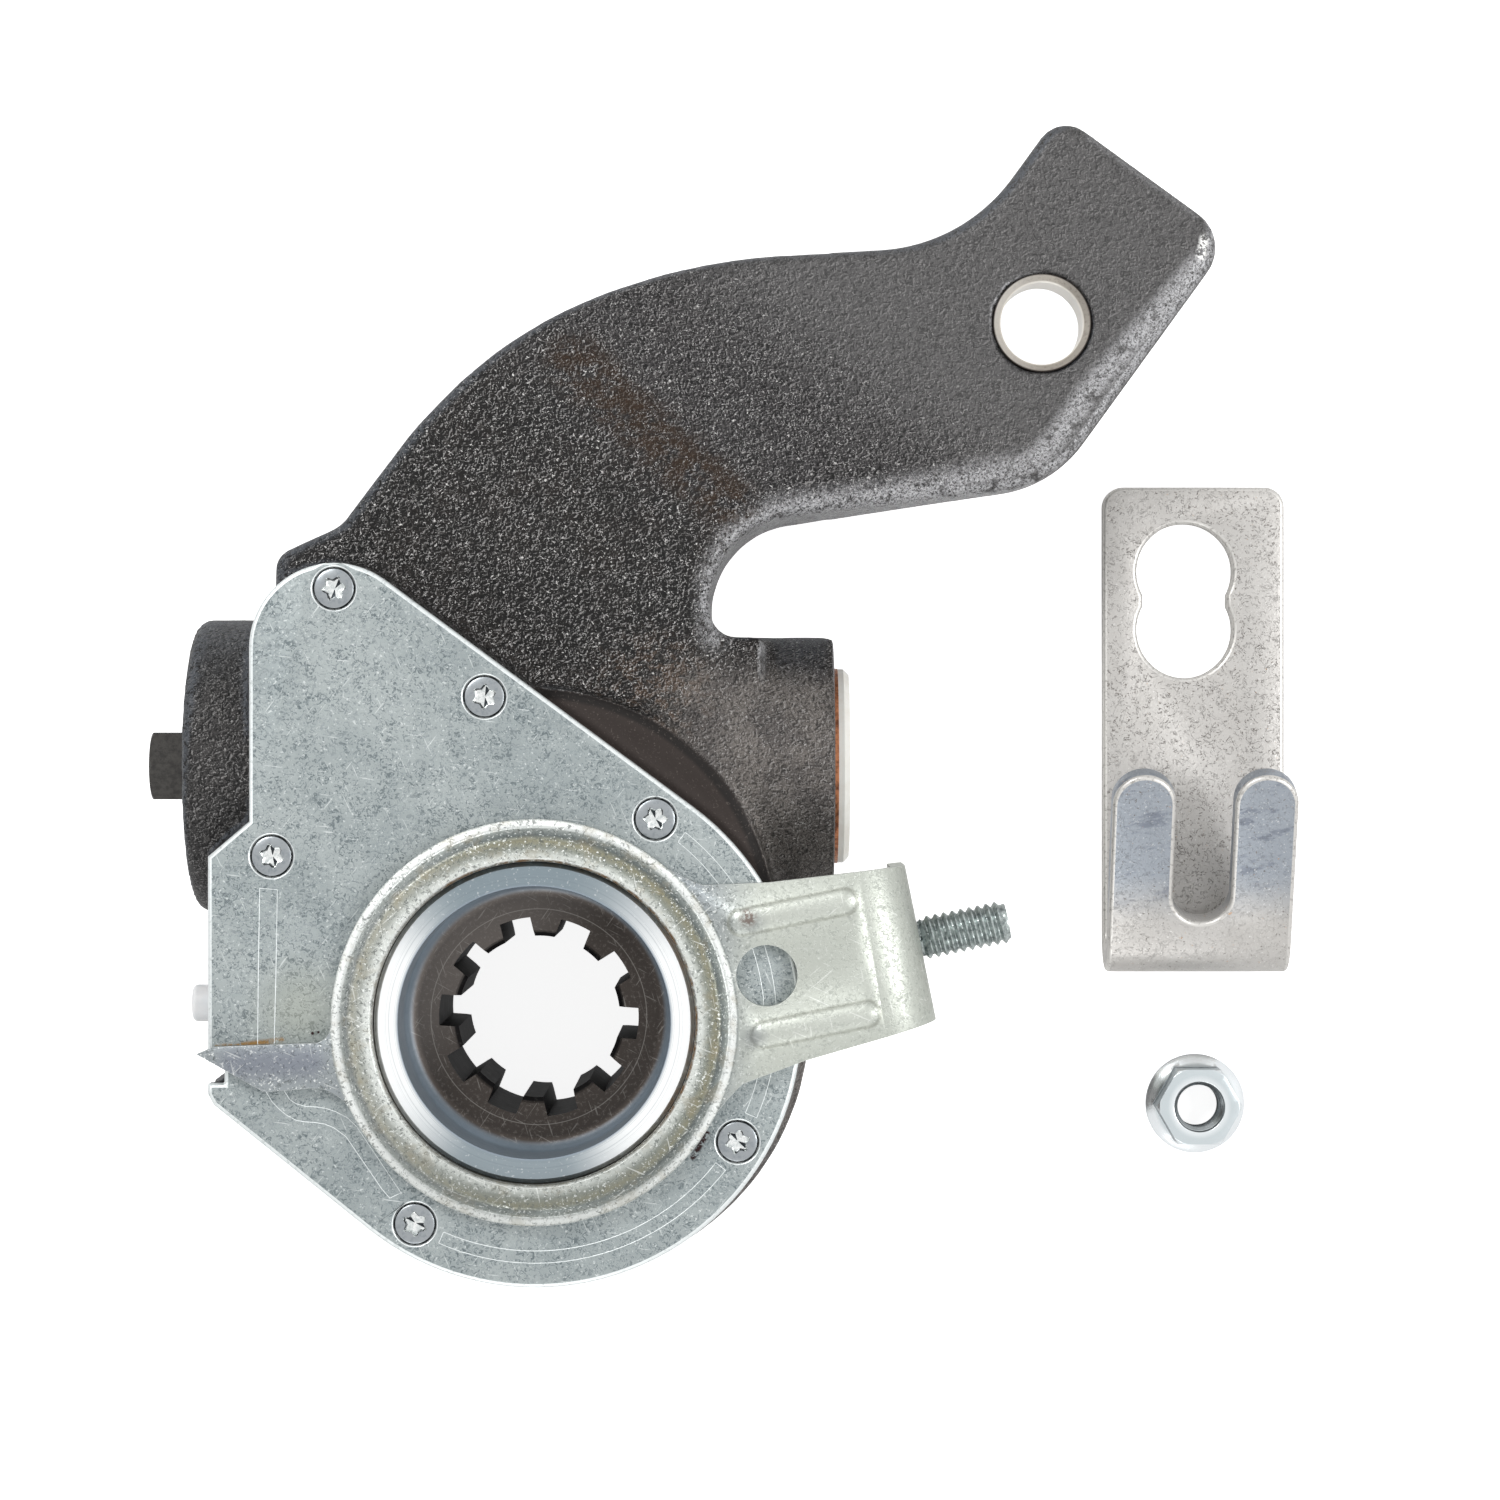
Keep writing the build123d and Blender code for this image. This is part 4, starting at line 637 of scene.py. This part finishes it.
def seat(piece, bodyName, slotName, material, *nodeNames):
    # puts the place into the mesh, and hands the piece to its body
    pickUp(piece)
    bpy.ops.object.transform_apply(location=True, rotation=True, scale=True)
    if len(piece.data.materials) == 0:
        piece.data.materials.append(material)
    piece.data.materials[0] = material
    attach(piece, bodyName)
    if nodeNames:
        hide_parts(*nodeNames)
    clearSelection()


# cast housing: below machinedTop and between its two ends the skin is soft and lumpy
housingForm = {"voxel": 1.0, "rounds": 5, "lumps": 0.22, "lumpSize": 7.0, "machinedShare": 0.12,
               "machinedTop": 28.25, "leftEnd": -66.2, "rightEnd": 55.7, "pinRoom": 11.5,
               "slotMiddle": -38.0, "slotHalf": 4.1, "slotFloor": 11.7, "slotTop": 28.0, "slotEnds": (-8.6, 77.0)}


def clearRackSlot(piece):
    # the slot of the rack stays wide and deep enough for it to slide
    middle, half, floor = [housingForm[key] for key in ("slotMiddle", "slotHalf", "slotFloor")]
    start, end = housingForm["slotEnds"]
    for vertex in piece.data.vertices:
        x, y, z = [value / mm for value in vertex.co]
        if start < y < end and floor - 0.6 < z < housingForm["slotTop"] and abs(x - middle) < half + 1.0:
            if abs(x - middle) > half - 1.0:
                vertex.co.x = (middle + (half if x > middle else -half)) * mm
            elif z < floor + 0.8:
                vertex.co.z = (floor - 0.5) * mm


def castHousing():
    piece = copyNode("housing", "castHousing")
    applyModifier(piece, "REMESH", mode="VOXEL", voxel_size=housingForm["voxel"] * mm, adaptivity=0.0)
    skin = piece.vertex_groups.new(name="castSkin")
    for vertex in piece.data.vertices:
        x, y, z = [value / mm for value in vertex.co]
        machined = (z > housingForm["machinedTop"] or x < housingForm["leftEnd"] or x > housingForm["rightEnd"]
                    or hypot(x - pinPlace[0], y - pinPlace[1]) < housingForm["pinRoom"])
        skin.add([vertex.index], housingForm["machinedShare"] if machined else 1.0, "REPLACE")
    applyModifier(piece, "SMOOTH", factor=0.5, iterations=housingForm["rounds"], vertex_group="castSkin")
    lumps = bpy.data.textures.new("castLumps", "CLOUDS")
    lumps.noise_scale = housingForm["lumpSize"] * mm
    lumps.noise_depth = 2
    applyModifier(piece, "DISPLACE", texture=lumps, texture_coords="LOCAL", mid_level=0.75,
                  strength=housingForm["lumps"] * mm, vertex_group="castSkin")
    clearRackSlot(piece)
    keepInside(piece, "housing")
    for polygon in piece.data.polygons:
        polygon.use_smooth = True
    seat(piece, "case", "cast_black", finishes["cast_black"], "housing")
    return piece


housing = castHousing()
print("housing:", len(housing.data.polygons), "faces")

# sheet pieces and screws: three screws stand on a circle round the bore, three in the upper part;
# each recess step drops and then narrows, and its facets are painted bright and dark as painted reflections, the
# dark ones counted in sectors of 30 degrees
screwForm = {"head": 3.80, "top": 31.8, "depth": 2.0, "bevel": 0.45, "recess": 2.4, "valley": 0.72,
             "recessSteps": ((0.15, 0.94), (1.3, 0.86), (0.25, 0.12)), "sideFrom": 3.5,
             "darkFloor": (2, 7), "darkWall": (0, 1, 5, 8, 9), "firstTurn": 8.0, "turnStep": 17.0,
             "upper": ((-37.7, 81.2), (-9.5, 60.9), (-49.4, 31.0)), "circle": 44.15,
             "circleAngles": (59.3, -30.7, -120.7)}
screwPlaces = list(screwForm["upper"])
for angle in screwForm["circleAngles"]:
    screwPlaces.append((screwForm["circle"] * cos(radians(angle)), screwForm["circle"] * sin(radians(angle))))
plateForm = {"top": 31.8, "screwRoom": 5.0, "boreRoom": 40.0, "shoulder": 0.8, "shoulderSegments": 4,
             "edge": 0.3, "edgeSegments": 2, "edgeAngle": 50.0, "lineRadius": 0.11, "lineSunk": 0.06,
             "inner": 43.0, "outer": 45.3, "arcs": ((-113.5, -38.0), (-23.5, 51.5)), "arcPoints": 28,
             "outlines": (
                 ((-52.0, -4.6), (-51.9, 8.0), (-51.6, 25.0), (-48.3, 24.7), (-48.6, 8.0), (-48.9, -4.2)),
                 ((-50.5, -13.0), (-49.3, -15.0), (-48.0, -16.4), (-46.5, -17.6), (-44.8, -18.5), (-43.0, -18.8),
                  (-41.3, -18.9), (-39.4, -19.2), (-37.7, -19.9), (-35.4, -21.6), (-28.7, -31.4), (-27.2, -33.1),
                  (-25.1, -32.1), (-33.4, -19.7), (-35.2, -18.0), (-37.3, -16.9), (-39.1, -16.3), (-40.9, -16.0),
                  (-43.0, -15.9), (-44.8, -15.4), (-46.0, -14.6), (-47.0, -13.0)))}
armForm = {"edge": 0.35, "segments": 2, "angle": 40.0}
bracketForm = {"edge": 0.8, "segments": 3, "angle": 40.0}


def circlePoints(radius, start, end):
    count = plateForm["arcPoints"]
    angles = [radians(start + (end - start) * k / (count - 1)) for k in range(count)]
    return [(radius * cos(angle), radius * sin(angle)) for angle in angles]


def channelLines():
    # outlines of the shallow channel coined between the screws
    inner, outer = plateForm["inner"], plateForm["outer"]
    lines = []
    for start, end in plateForm["arcs"]:
        arc = circlePoints(inner, start, end)
        lines.append(arc + circlePoints(outer, end, start) + arc[:1])
    return lines + list(plateForm["outlines"])


def coinedLine(index, points):
    curve = bpy.data.curves.new("coinedLine", "CURVE")
    curve.dimensions = "3D"
    curve.bevel_depth = plateForm["lineRadius"] * mm
    curve.bevel_resolution = 1
    curve.use_fill_caps = True
    spline = curve.splines.new("POLY")
    spline.points.add(len(points) - 1)
    for point, (x, y) in zip(spline.points, points):
        point.co = (x * mm, y * mm, (plateForm["top"] - plateForm["lineSunk"]) * mm, 1.0)
    line = bpy.data.objects.new("coinedLine" + str(index), curve)
    scene.collection.objects.link(line)
    pickUp(line)
    bpy.ops.object.convert(target="MESH")
    line.data.materials.clear()
    line.data.materials.append(edgeFinishes["cover_plate"])
    return line


def stampedCover():
    plate = flatCopy("cover_plate", "coverPlate")
    shoulder = plate.vertex_groups.new(name="shoulder")
    for vertex in plate.data.vertices:
        x, y, z = [value / mm for value in vertex.co]
        clear = min(hypot(x - px, y - py) for px, py in screwPlaces) > plateForm["screwRoom"]
        if z > plateForm["top"] - 0.1 and clear and hypot(x, y) > plateForm["boreRoom"]:
            shoulder.add([vertex.index], 1.0, "REPLACE")
    softEdges(plate, plateForm["shoulder"], plateForm["shoulderSegments"], group="shoulder")
    softEdges(plate, plateForm["edge"], plateForm["edgeSegments"], plateForm["edgeAngle"])
    joinInto(plate, [coinedLine(index, points) for index, points in enumerate(channelLines())])
    seat(plate, "case", "zinc_plate", finishes["zinc_plate"], "cover_plate")


def stampedArm():
    arm = flatCopy("control_arm", "controlArm")
    softEdges(arm, armForm["edge"], armForm["segments"], armForm["angle"], clamp=True)
    keepInside(arm, "control_arm")
    seat(arm, "control", "zinc_yellow", finishes["zinc_yellow"], "control_arm")


def foldedBracket():
    bracket = flatCopy("anchor_bracket", "anchorBracket")
    softEdges(bracket, bracketForm["edge"], bracketForm["segments"], bracketForm["angle"])
    seat(bracket, "bracket", "stainless", finishes["stainless"], "anchor_bracket")


stampedCover()
stampedArm()
foldedBracket()
print("sheet pieces made")

# threads: the stud's axis lies along the strap, so its lengths are taken outward from the ring's axis
studForm = {"axisZ": 14.5, "plainEnd": 74.3, "ridgeStart": 74.4, "end": 91.5, "crest": 4.12, "root": 3.4,
            "pitch": 1.65, "chamfer": 0.9}
nutForm = {"bore": 4.9, "ridge": 0.65, "pitch": 1.5, "chamfer": 1.0, "endRoom": 0.5, "edge": 0.25, "segments": 2,
           "angle": 30.0}


def threadRidge(pieceName, material, root, crest, pitch, length, chamfer):
    # a helical ridge about Z from 0 to length, its crest cut back near both ends
    bpy.ops.mesh.primitive_circle_add(vertices=4, radius=1.0, fill_type="NOTHING")
    piece = bpy.context.object
    piece.name = pieceName
    piece.data.materials.append(material)
    turns = int(length / pitch) + 2
    sunk = root - 0.25 * (crest - root)
    corners = ((sunk, -0.50), (crest, -0.07), (crest, 0.07), (sunk, 0.50))
    for vertex, (radius, rise) in zip(piece.data.vertices, corners):
        vertex.co = Vector((radius * mm, 0.0, (rise * 1.04 - 1.0) * pitch * mm))
    applyModifier(piece, "SCREW", axis="Z", angle=2 * pi, screw_offset=pitch * mm, iterations=turns, steps=48,
                  render_steps=48, use_merge_vertices=False, use_smooth_shade=True)
    pickUp(piece)
    bpy.ops.object.mode_set(mode="EDIT")
    bpy.ops.mesh.select_all(action="DESELECT")
    bpy.ops.mesh.select_mode(type="EDGE")
    bpy.ops.mesh.select_non_manifold()
    bpy.ops.mesh.edge_face_add()
    bpy.ops.mesh.select_all(action="SELECT")
    bpy.ops.mesh.normals_make_consistent(inside=False)
    bpy.ops.object.mode_set(mode="OBJECT")
    sign = 1.0 if crest > root else -1.0
    for vertex in piece.data.vertices:
        x, y, z = vertex.co
        radius = hypot(x, y) / mm
        height = min(max(z / mm, 0.0), length)
        near = min(height, length - height)
        limit = crest - sign * max(0.0, chamfer - near) * abs(crest - root) / chamfer * 1.3
        limit = min(radius, limit) if sign > 0 else max(radius, limit)
        turn = atan2(y, x)
        vertex.co = Vector((limit * cos(turn) * mm, limit * sin(turn) * mm, height * mm))
    return piece


def threadedStud():
    stud = copyNode("anchor_stud", "anchorStud")
    root, start = studForm["root"], studForm["ridgeStart"]
    axis = Vector((cos(strapTurn), sin(strapTurn), 0.0))
    centre = Vector((0.0, 0.0, studForm["axisZ"] * mm))
    for vertex in stud.data.vertices:
        arm = vertex.co - centre
        along = arm.dot(axis)
        out = arm - axis * along
        if along > studForm["plainEnd"] * mm and out.length > root * mm:
            vertex.co = centre + axis * along + out.normalized() * root * mm
    ridge = threadRidge("studRidge", ownFinishes["anchor_stud"], root, studForm["crest"], studForm["pitch"],
                        studForm["end"] - start, studForm["chamfer"])
    ridge.matrix_world = (Matrix.Translation(centre) @ Matrix.Rotation(strapTurn, 4, "Z")
                          @ Matrix.Translation((start * mm, 0.0, 0.0)) @ Matrix.Rotation(radians(90), 4, "Y"))
    joinInto(stud, [ridge])
    smoothShade(stud, 38.0)
    seat(stud, "control", "bright_zinc", ownFinishes["anchor_stud"], "anchor_stud")


def flangeNut():
    nut = copyNode("lock_nut", "lockNut")
    applyModifier(nut, "BEVEL", width=nutForm["edge"] * mm, segments=nutForm["segments"], limit_method="ANGLE",
                  angle_limit=radians(nutForm["angle"]), use_clamp_overlap=True)
    low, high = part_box("lock_nut")
    bore, room = nutForm["bore"], nutForm["endRoom"]
    middle = Vector((nutPlace[0] * mm, nutPlace[1] * mm, 0.0))
    for vertex in nut.data.vertices:
        out = Vector((vertex.co.x, vertex.co.y, 0.0)) - middle
        if out.length < bore * mm:
            wide = out.normalized() * bore * mm + middle
            vertex.co = Vector((wide.x, wide.y, vertex.co.z))
    length = (high.z - low.z) / mm - 2 * room
    ridge = threadRidge("nutRidge", ownFinishes["lock_nut"], bore, bore - nutForm["ridge"], nutForm["pitch"],
                        length, nutForm["chamfer"])
    ridge.location = (middle.x, middle.y, low.z + room * mm)
    joinInto(nut, [ridge])
    smoothShade(nut, 38.0)
    seat(nut, "nut", "bright_zinc", ownFinishes["lock_nut"], "lock_nut")


threadedStud()
flangeNut()
print("threads cut")


# cover screws
def screwHead():
    # a ring head with a six-lobed recess, at the origin, its top at zero
    depth = screwForm["depth"] * mm
    bpy.ops.mesh.primitive_cylinder_add(vertices=96, radius=screwForm["head"] * mm, depth=depth,
                                        location=(0, 0, -depth / 2))
    head = bpy.context.object
    bpy.ops.object.transform_apply(location=True)
    for material in [ownFinishes["cover_screws"]] + recessFinishes:
        head.data.materials.append(material)
    bpy.ops.object.mode_set(mode="EDIT")
    bpy.ops.mesh.select_mode(type="FACE")
    bpy.ops.mesh.select_all(action="DESELECT")
    bpy.ops.object.mode_set(mode="OBJECT")
    for polygon in head.data.polygons:
        polygon.select = polygon.normal.z > 0.9
    bpy.ops.object.mode_set(mode="EDIT")
    bpy.ops.mesh.bevel(offset=screwForm["bevel"] * mm, segments=2, affect="EDGES")
    bpy.ops.object.mode_set(mode="OBJECT")
    for polygon in head.data.polygons:
        polygon.select = polygon.normal.z > 0.9 and polygon.area > 10 * mm * mm
    bpy.ops.object.mode_set(mode="EDIT")
    bpy.ops.mesh.inset(thickness=(screwForm["head"] - screwForm["bevel"] - screwForm["recess"]) * mm, depth=0.0)
    bpy.ops.object.mode_set(mode="OBJECT")
    for vertex in [vertex for vertex in head.data.vertices if vertex.select]:
        turn = atan2(vertex.co.y, vertex.co.x)
        share = (0.5 - 0.5 * cos(6 * turn)) ** 0.8
        vertex.co.x *= 1.0 - (1.0 - screwForm["valley"]) * share
        vertex.co.y *= 1.0 - (1.0 - screwForm["valley"]) * share
    bpy.ops.object.mode_set(mode="EDIT")
    for drop, narrow in screwForm["recessSteps"]:
        bpy.ops.mesh.extrude_region_move(TRANSFORM_OT_translate={"value": (0, 0, -drop * mm)})
        bpy.ops.transform.resize(value=(narrow, narrow, 1.0))
    bpy.ops.object.mode_set(mode="OBJECT")
    for polygon in head.data.polygons:
        middle = polygon.center / mm
        # painted shade on the head's side, in the gap round it
        if abs(polygon.normal.z) < 0.5 and hypot(middle.x, middle.y) > screwForm["sideFrom"]:
            polygon.material_index = 2
        # painted reflection: recess facets bright or dark by sector
        if hypot(middle.x, middle.y) < screwForm["recess"] and middle.z < -0.05:
            sector = int((atan2(middle.y, middle.x) + pi) / radians(30)) % 12
            dark = sector in screwForm["darkFloor" if polygon.normal.z > 0.6 else "darkWall"]
            polygon.material_index = 2 if dark else 1
    return head


def coverScrewSet():
    head = screwHead()
    screws = []
    for index, (x, y) in enumerate(screwPlaces):
        screw = bpy.data.objects.new("coverScrews", head.data.copy())
        scene.collection.objects.link(screw)
        screw.location = (x * mm, y * mm, screwForm["top"] * mm)
        screw.rotation_euler = (0, 0, radians(screwForm["turnStep"] * index + screwForm["firstTurn"]))
        pickUp(screw)
        bpy.ops.object.transform_apply(location=True, rotation=True, scale=True)
        screws.append(screw)
    bpy.data.objects.remove(head)
    joinInto(screws[0], screws[1:])
    smoothShade(screws[0], 38.0)
    seat(screws[0], "case", "bright_zinc", ownFinishes["cover_screws"], "cover_screws")


coverScrewSet()
print("screws made")

# camera, light, floor; the camera's place, the lamps and the floor's size are in metres
cameraForm = {"place": (0.0403, 0.0509, 0.780), "lens": 95.8, "sensor": 36.0}
lightForm = {"world": 0.38, "floor": -30.05, "floorSize": 8.0, "floorWhite": (0.86, 0.86, 0.86, 1.0),
             "floorMiddle": (40.0, 50.0), "cameraGlow": 0.88, "glossGlow": 0.20, "aim": (0.03, 0.05, 0.0),
             "lamps": (("keyLight", (-0.55, 0.75, 0.95), (0.50, 0.36), 7.2),
                       ("fillLight", (0.85, 0.10, 0.75), (0.36, 0.50), 5.2),
                       ("lowLight", (-0.10, -0.85, 0.55), (0.50, 0.30), 2.2))}

cameraData = bpy.data.cameras.new("camera")
cameraData.lens = cameraForm["lens"]
cameraData.sensor_width = cameraForm["sensor"]
cameraData.clip_start = 0.05
cameraData.clip_end = 20.0
camera = bpy.data.objects.new("camera", cameraData)
camera.location = cameraForm["place"]
scene.collection.objects.link(camera)
scene.camera = camera

for name, place, size, power in lightForm["lamps"]:
    lamp = bpy.data.lights.new(name, "AREA")
    lamp.shape = "RECTANGLE"
    lamp.size, lamp.size_y = size
    lamp.energy = power
    softBox = bpy.data.objects.new(name, lamp)
    softBox.location = place
    softBox.rotation_euler = (Vector(lightForm["aim"]) - Vector(place)).to_track_quat("-Z", "Y").to_euler()
    scene.collection.objects.link(softBox)

# the world is white where it is seen or mirrored, and dimmer as a light
world = bpy.data.worlds.new("world")
scene.world = world
world.use_nodes = True
tree = world.node_tree
tree.nodes.clear()
path = tree.nodes.new("ShaderNodeLightPath")
seen = path.outputs["Is Camera Ray"]
for rayName in ("Is Glossy Ray", "Is Transmission Ray"):
    either = tree.nodes.new("ShaderNodeMath")
    either.operation = "MAXIMUM"
    tree.links.new(seen, either.inputs[0])
    tree.links.new(path.outputs[rayName], either.inputs[1])
    seen = either.outputs[0]
level = tree.nodes.new("ShaderNodeMapRange")
level.inputs[3].default_value = lightForm["world"]
level.inputs[4].default_value = 1.0
tree.links.new(seen, level.inputs[0])
background = tree.nodes.new("ShaderNodeBackground")
background.inputs["Color"].default_value = (1, 1, 1, 1)
tree.links.new(level.outputs[0], background.inputs["Strength"])
worldOutput = tree.nodes.new("ShaderNodeOutputWorld")
tree.links.new(background.outputs[0], worldOutput.inputs["Surface"])


def paleFloor():
    # a white floor that also glows towards the camera, just under the lowest pieces
    x, y = lightForm["floorMiddle"]
    bpy.ops.mesh.primitive_plane_add(size=lightForm["floorSize"],
                                     location=(x * mm, y * mm, lightForm["floor"] * mm))
    floor = bpy.context.object
    floor.name = "floor"
    f = Finish("floorWhite")
    lightPath = f.tree.nodes.new("ShaderNodeLightPath")
    cameraRay = Wire(f, lightPath.outputs["Is Camera Ray"])
    glossyRay = Wire(f, lightPath.outputs["Is Glossy Ray"])
    strength = (cameraRay * lightForm["cameraGlow"]).most(glossyRay * lightForm["glossGlow"])
    diffuse = f.add("ShaderNodeBsdfDiffuse", {}, {"Color": lightForm["floorWhite"]})
    glow = f.add("ShaderNodeEmission", {}, {"Color": (1, 1, 1, 1), "Strength": strength})
    both = f.add("ShaderNodeAddShader", {}, {0: diffuse, 1: glow})
    f.add("ShaderNodeOutputMaterial", {}, {"Surface": both})
    floor.data.materials.append(f.material)


clearSelection()
paleFloor()
scene.view_settings.view_transform = "Standard"
print("camera and light set")
